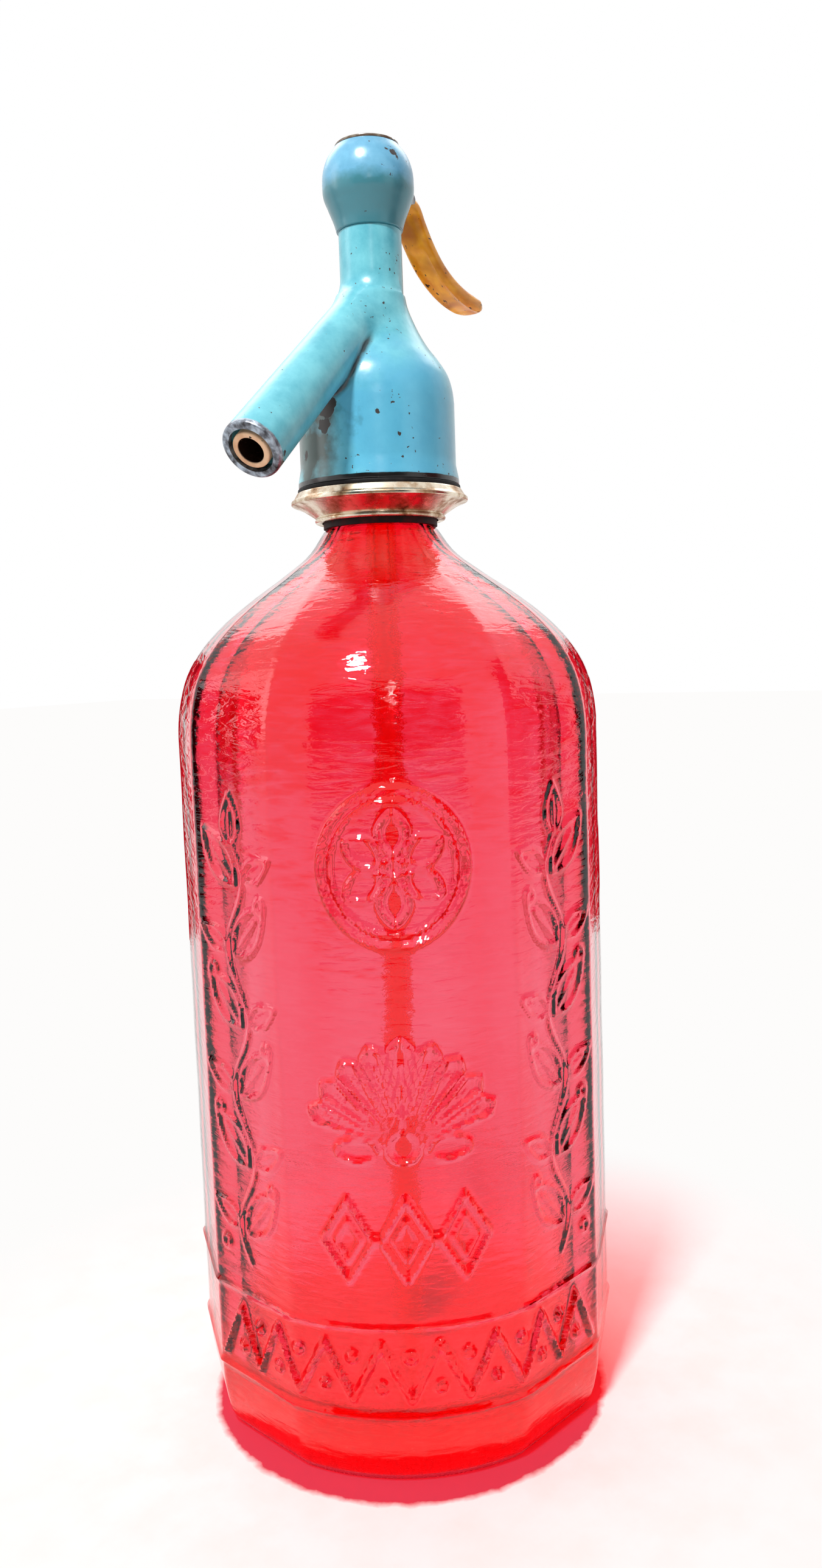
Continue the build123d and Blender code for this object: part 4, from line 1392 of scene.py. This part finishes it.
# ------------------------------------------------------------------------------------ thumb lever
@dataclass
class ThumbLever(Assembly):
    """The amber grip that the thumb presses, dished along its underside."""

    pin: tuple[float, float, float] = (6.9, 0.0, 279.9)
    half_w: float = 3.6
    half_t: float = 2.3
    dish: float = 0.75
    squareness: float = 2.9
    tongue: tuple[float, float, float] = (9.3, 4.5, 2.1)
    tongue_lean: float = -16.0
    line: Outline = ((5.9, 1.9), (8.9, 1.3), (11.6, -1.9), (14.9, -5.6), (19.4, -9.3), (25.4, -12.3),
                     (31.6, -14.0), (37.6, -14.6), (42.6, -14.4))
    sections: Outline = ((0, 1, .91), (.12, 1, .98), (.3, 1, 1), (.5, 1, .98), (.7, 1, .98), (.85, .98, .95),
                         (.94, .9, .82), (.98, .72, .6), (1, .45, .33))

    def build(self) -> None:
        """Sweep the grip along its line, with its ends rounded over, and publish it."""
        path = curve_through(self.line, 84)
        lean = np.gradient(path, axis=0)
        lean /= np.linalg.norm(lean, axis=1)[:, None]
        share = np.linspace(0, 1, len(path))
        at, wide, thick = np.array(self.sections).T
        wide = np.interp(share, at, wide) * self.half_w
        thick = np.interp(share, at, thick) * self.half_t
        dished = self.dish * np.clip((share - 0.27) / 0.05, 0, 1) * np.clip((0.95 - share) / 0.08, 0, 1)
        turn = np.linspace(0, 2 * math.pi, 56, endpoint=False)
        across, through = [np.sign(wave) * np.abs(wave) ** (2 / self.squareness)
                           for wave in (np.cos(turn), np.sin(turn))]
        under = np.clip(1 - (np.abs(across) / 0.7) ** 4, 0, 1) * (through < 0)
        depth = through * thick[:, None] + dished[:, None] * under
        rings = np.stack([self.pin[0] + path[:, :1] - lean[:, 1:] * depth, across * wide[:, None],
                          self.pin[2] + path[:, 1:] + lean[:, :1] * depth], axis=2)
        first, last = rings[0].mean(0), rings[-1].mean(0)
        grip = swept("thumb_lever_grip", np.array([
            rings[0] * 0 + first, first + (rings[0] - first) * 0.7, *rings,
            last + (rings[-1] - last) * 0.5, rings[-1] * 0 + last]))
        combine(grip, self.socket(), Boolean.CUT)
        self.publish(grip, MouldedPlastic(
            "amber_moulded_plastic", "amber_plastic", light="#FFB030", dark="#E68A18", dirt="#3A1D0A",
            flank="#A8500A", streak=3.0, glow=0.1), "lever_grip", angle=40, body=Body.LEVER)

    def socket(self) -> Piece:
        """Shape the slot in the grip's root that takes the metal tongue.

        Returns:
            The tool that cuts it.
        """
        tool = block(self.tongue, (4.6, 0, 0), 0.05)
        move_mesh(tool, Matrix.Translation(Vector(self.pin) * MM) @ Matrix.Rotation(
            math.radians(self.tongue_lean), 4, "Y"))
        return tool


# ------------------------------------------------------------------------------------ valve gear
@dataclass
class ValveGear(Assembly):
    """The return spring in the ball, over the valve stem."""

    low_z: float = 284.17
    high_z: float = 289.18
    roof_z: float = 289.5
    coil_r: float = 2.9
    wire_r: float = 0.3
    turns: float = 3.5
    travel: float = 2.37

    def build(self) -> None:
        """Coil the spring and give it a mesh of its own."""
        turn = np.linspace(0, 2 * math.pi * self.turns, 141)
        out = np.column_stack([np.cos(turn), np.sin(turn), np.zeros(len(turn))])
        path = out * self.coil_r
        path[:, 2] = np.linspace(self.low_z, self.high_z, len(turn))
        side = np.linspace(0, 2 * math.pi, 10, endpoint=False)
        rings = np.array([middle + self.wire_r * (np.outer(np.cos(side), away) + np.outer(
            np.sin(side), (0, 0, 1))) for middle, away in zip(path, out)])
        rings = np.concatenate([rings[:1] * 0 + path[0], rings, rings[-1:] * 0 + path[-1]])
        spring = swept("return_spring_coil", rings)
        self.publish(spring, TurnedMetal("spring_steel", "steel", light="#C9CCCF", dark="#6C6F74"),
                     "return_spring", angle=60)
        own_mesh(spring)


class CarriedNodes(Assembly):
    """CAD solids that show as they are, each with the finish of the real piece."""

    def build(self) -> None:
        """Give each remaining node its material."""
        dressed = {
            MouldedRubber("moulded_black_rubber", "black_rubber"): (
                "bottle_seal", "valve_washer", "packing_washer"),
            MouldedRubber("maroon_gum_rubber", "black_rubber", base="#1C0406", bloom="#4A0C12"): (
                "neck_sleeve",),
            MouldedRubber("red_gum_rubber", "black_rubber", base="#6A1518", bloom="#8A2A2A"): (
                "tube_sleeve",),
            TurnedMetal("turned_brass", "brass"): (
                "valve_seat", "packing_nut", "valve_stem", "stem_head", "washer_screw", "split_ring_front",
                "split_ring_rear", "lever_arm", "spring_washer"),
            TurnedMetal("drawn_steel", "steel", light="#B9BBBD", dark="#5A5B5E", rough=0.34): ("lever_pin",),
            MouldedPlastic("ivory_core_plastic", "cream_plastic", light="#EBCBA8", dark="#C79F7C",
                           dirt="#6A4630"): ("head_liner", "tube_nut"),
            DrawnTube("drawn_clear_tube", "clear_tube"): ("dip_tube",),
        }
        for finish, names in dressed.items():
            for name in names:
                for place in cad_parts[name].material_slots:
                    place.material = finish.material()
                log.info("%s: CAD solid in %s", name, finish.name)


# ------------------------------------------------------------------------------------ studio
@dataclass
class Studio:
    """Camera, pale table, soft lamps and the white surroundings."""

    eye: tuple[float, float, float] = (-248.24, -161.21, 176.67)
    forward: tuple[float, float, float] = (0.84299, 0.52741, -0.10590)
    right: tuple[float, float, float] = (0.53039, -0.84776, 0.0)
    roll: float = -0.0351
    lens: float = 28.54
    aim: tuple[float, float, float] = (0.0, 0.0, 0.15)

    def camera(self) -> None:
        """Set the camera at its place and make it the scene's."""
        ahead, side = Vector(self.forward).normalized(), Vector(self.right).normalized()
        up = side.cross(ahead)
        level, upright = math.cos(self.roll), math.sin(self.roll)
        across, over = side * level + up * upright, up * level - side * upright
        data = bpy.data.cameras.new("camera")
        data.lens, data.sensor_width, data.sensor_fit = self.lens, 36.0, "AUTO"
        data.clip_start = 0.01
        view = bpy.data.objects.new("camera", data)
        bpy.context.scene.collection.objects.link(view)
        turn = Matrix((across, over, -ahead)).transposed().to_4x4()
        view.matrix_world = Matrix.Translation(Vector(self.eye) * MM) @ turn
        bpy.context.scene.camera = view

    def table(self) -> None:
        """Lay the table top under the foot."""
        top = primitive("table_top", bpy.ops.mesh.primitive_plane_add, size=8.0, location=(0, 0, 0))
        top.data.materials.append(LimedTable("limewashed_table", "table").material())

    def lamp(self, name: str, place: Sequence[float], size: Sequence[float], power: float) -> None:
        """Hang one soft lamp aimed at the middle of the bottle.

        Args:
            name: Name of the lamp.
            place: Where it hangs, in metres.
            size: Its width and height, in metres.
            power: Its power in watts.
        """
        data = bpy.data.lights.new(name, "AREA")
        data.shape, data.energy = "RECTANGLE", power
        data.size, data.size_y = size
        item = bpy.data.objects.new(name, data)
        bpy.context.scene.collection.objects.link(item)
        item.location = place
        item.rotation_euler = (Vector(self.aim) - Vector(place)).to_track_quat("-Z", "Y").to_euler()

    def board(self, name: str, turn: float, away: float, size: Sequence[float], finish: Finish) -> None:
        """Stand a board out of the picture, for the glass and the enamel to mirror.

        Args:
            name: Name of the board.
            turn: Degrees from straight behind the siphon, positive to the right of the picture.
            away: Distance from the siphon, in metres.
            size: Its width and height, in metres.
            finish: What it is painted with.
        """
        ahead, across = Vector(self.forward), Vector(self.right)
        ahead.z = 0
        turn = math.radians(turn)
        out = ahead.normalized() * math.cos(turn) + across.normalized() * math.sin(turn)
        board = primitive(name, bpy.ops.mesh.primitive_plane_add, size=1.0)
        wide = out.cross(Vector((0, 0, 1)))
        corners = [out * away + wide * (size[0] * u) + Vector((0, 0, size[1] * v))
                   for u, v in ((-0.5, 0), (0.5, 0), (-0.5, 1), (0.5, 1))]
        set_points(board, np.array([tuple(corner / MM) for corner in corners]))
        board.data.materials.append(finish.material())
        board.visible_camera = board.visible_diffuse = board.visible_shadow = False

    def surroundings(self) -> None:
        """White surroundings to the eye, in gloss and through glass, and dimmer as a light."""
        world = bpy.context.scene.world or bpy.data.worlds.new("surroundings")
        bpy.context.scene.world = world
        world.use_nodes = True
        tree = world.node_tree
        tree.nodes.clear()
        dim = add(tree, "Background", "#F4F6F8", 0.13)
        white = add(tree, "Background", "#FFFFFF", 1.0)
        add(tree, "OutputWorld", add(tree, "MixShader", seen_rays(tree)[0], dim, white))

    def build(self) -> None:
        """Set up everything round the object."""
        bpy.context.scene.view_settings.view_transform = "Standard"
        self.camera()
        self.table()
        self.surroundings()
        self.lamp("skylight_behind", (0.60, 0.38, 1.05), (1.7, 0.5), 5.5)
        self.lamp("key_front", (-0.63, -0.12, 1.15), (0.13, 0.13), 15.0)
        self.lamp("window_left", (-0.45, 0.75, 0.5), (0.35, 0.6), 1.3)
        self.lamp("flash", (-0.42, -0.30, 0.40), (0.03, 0.03), 0.1)
        red = RedCard("red_card", "table")
        maroon = RedCard("maroon_card", "table", light="#8C0E1A", dark="#7A0C16")
        grey = MouldedRubber("grey_board", "table", base="#242224", bloom="#302C2E")
        self.board("flag_left", -23.0, 0.5, (0.08, 0.23), red)
        self.board("flag_right", 23.0, 0.5, (0.08, 0.23), red)
        self.board("room_behind_camera", 180.0, 1.2, (2.0, 0.9), grey)
        self.board("room_right", 98.0, 0.9, (0.5, 0.9), maroon)
        self.board("room_left", -82.0, 0.9, (0.14, 0.9), maroon)
        log.info("studio ready")


def main() -> None:
    """Build every sub-assembly, then the studio."""
    logging.basicConfig(level=logging.INFO, format="%(name)s: %(message)s")
    for assembly in (GlassBottle(), NeckFittings(), HeadCasting(), LeverHousing(), ThumbLever(), ValveGear(),
                     CarriedNodes(), Studio()):
        assembly.build()


if __name__ == "__main__":
    main()
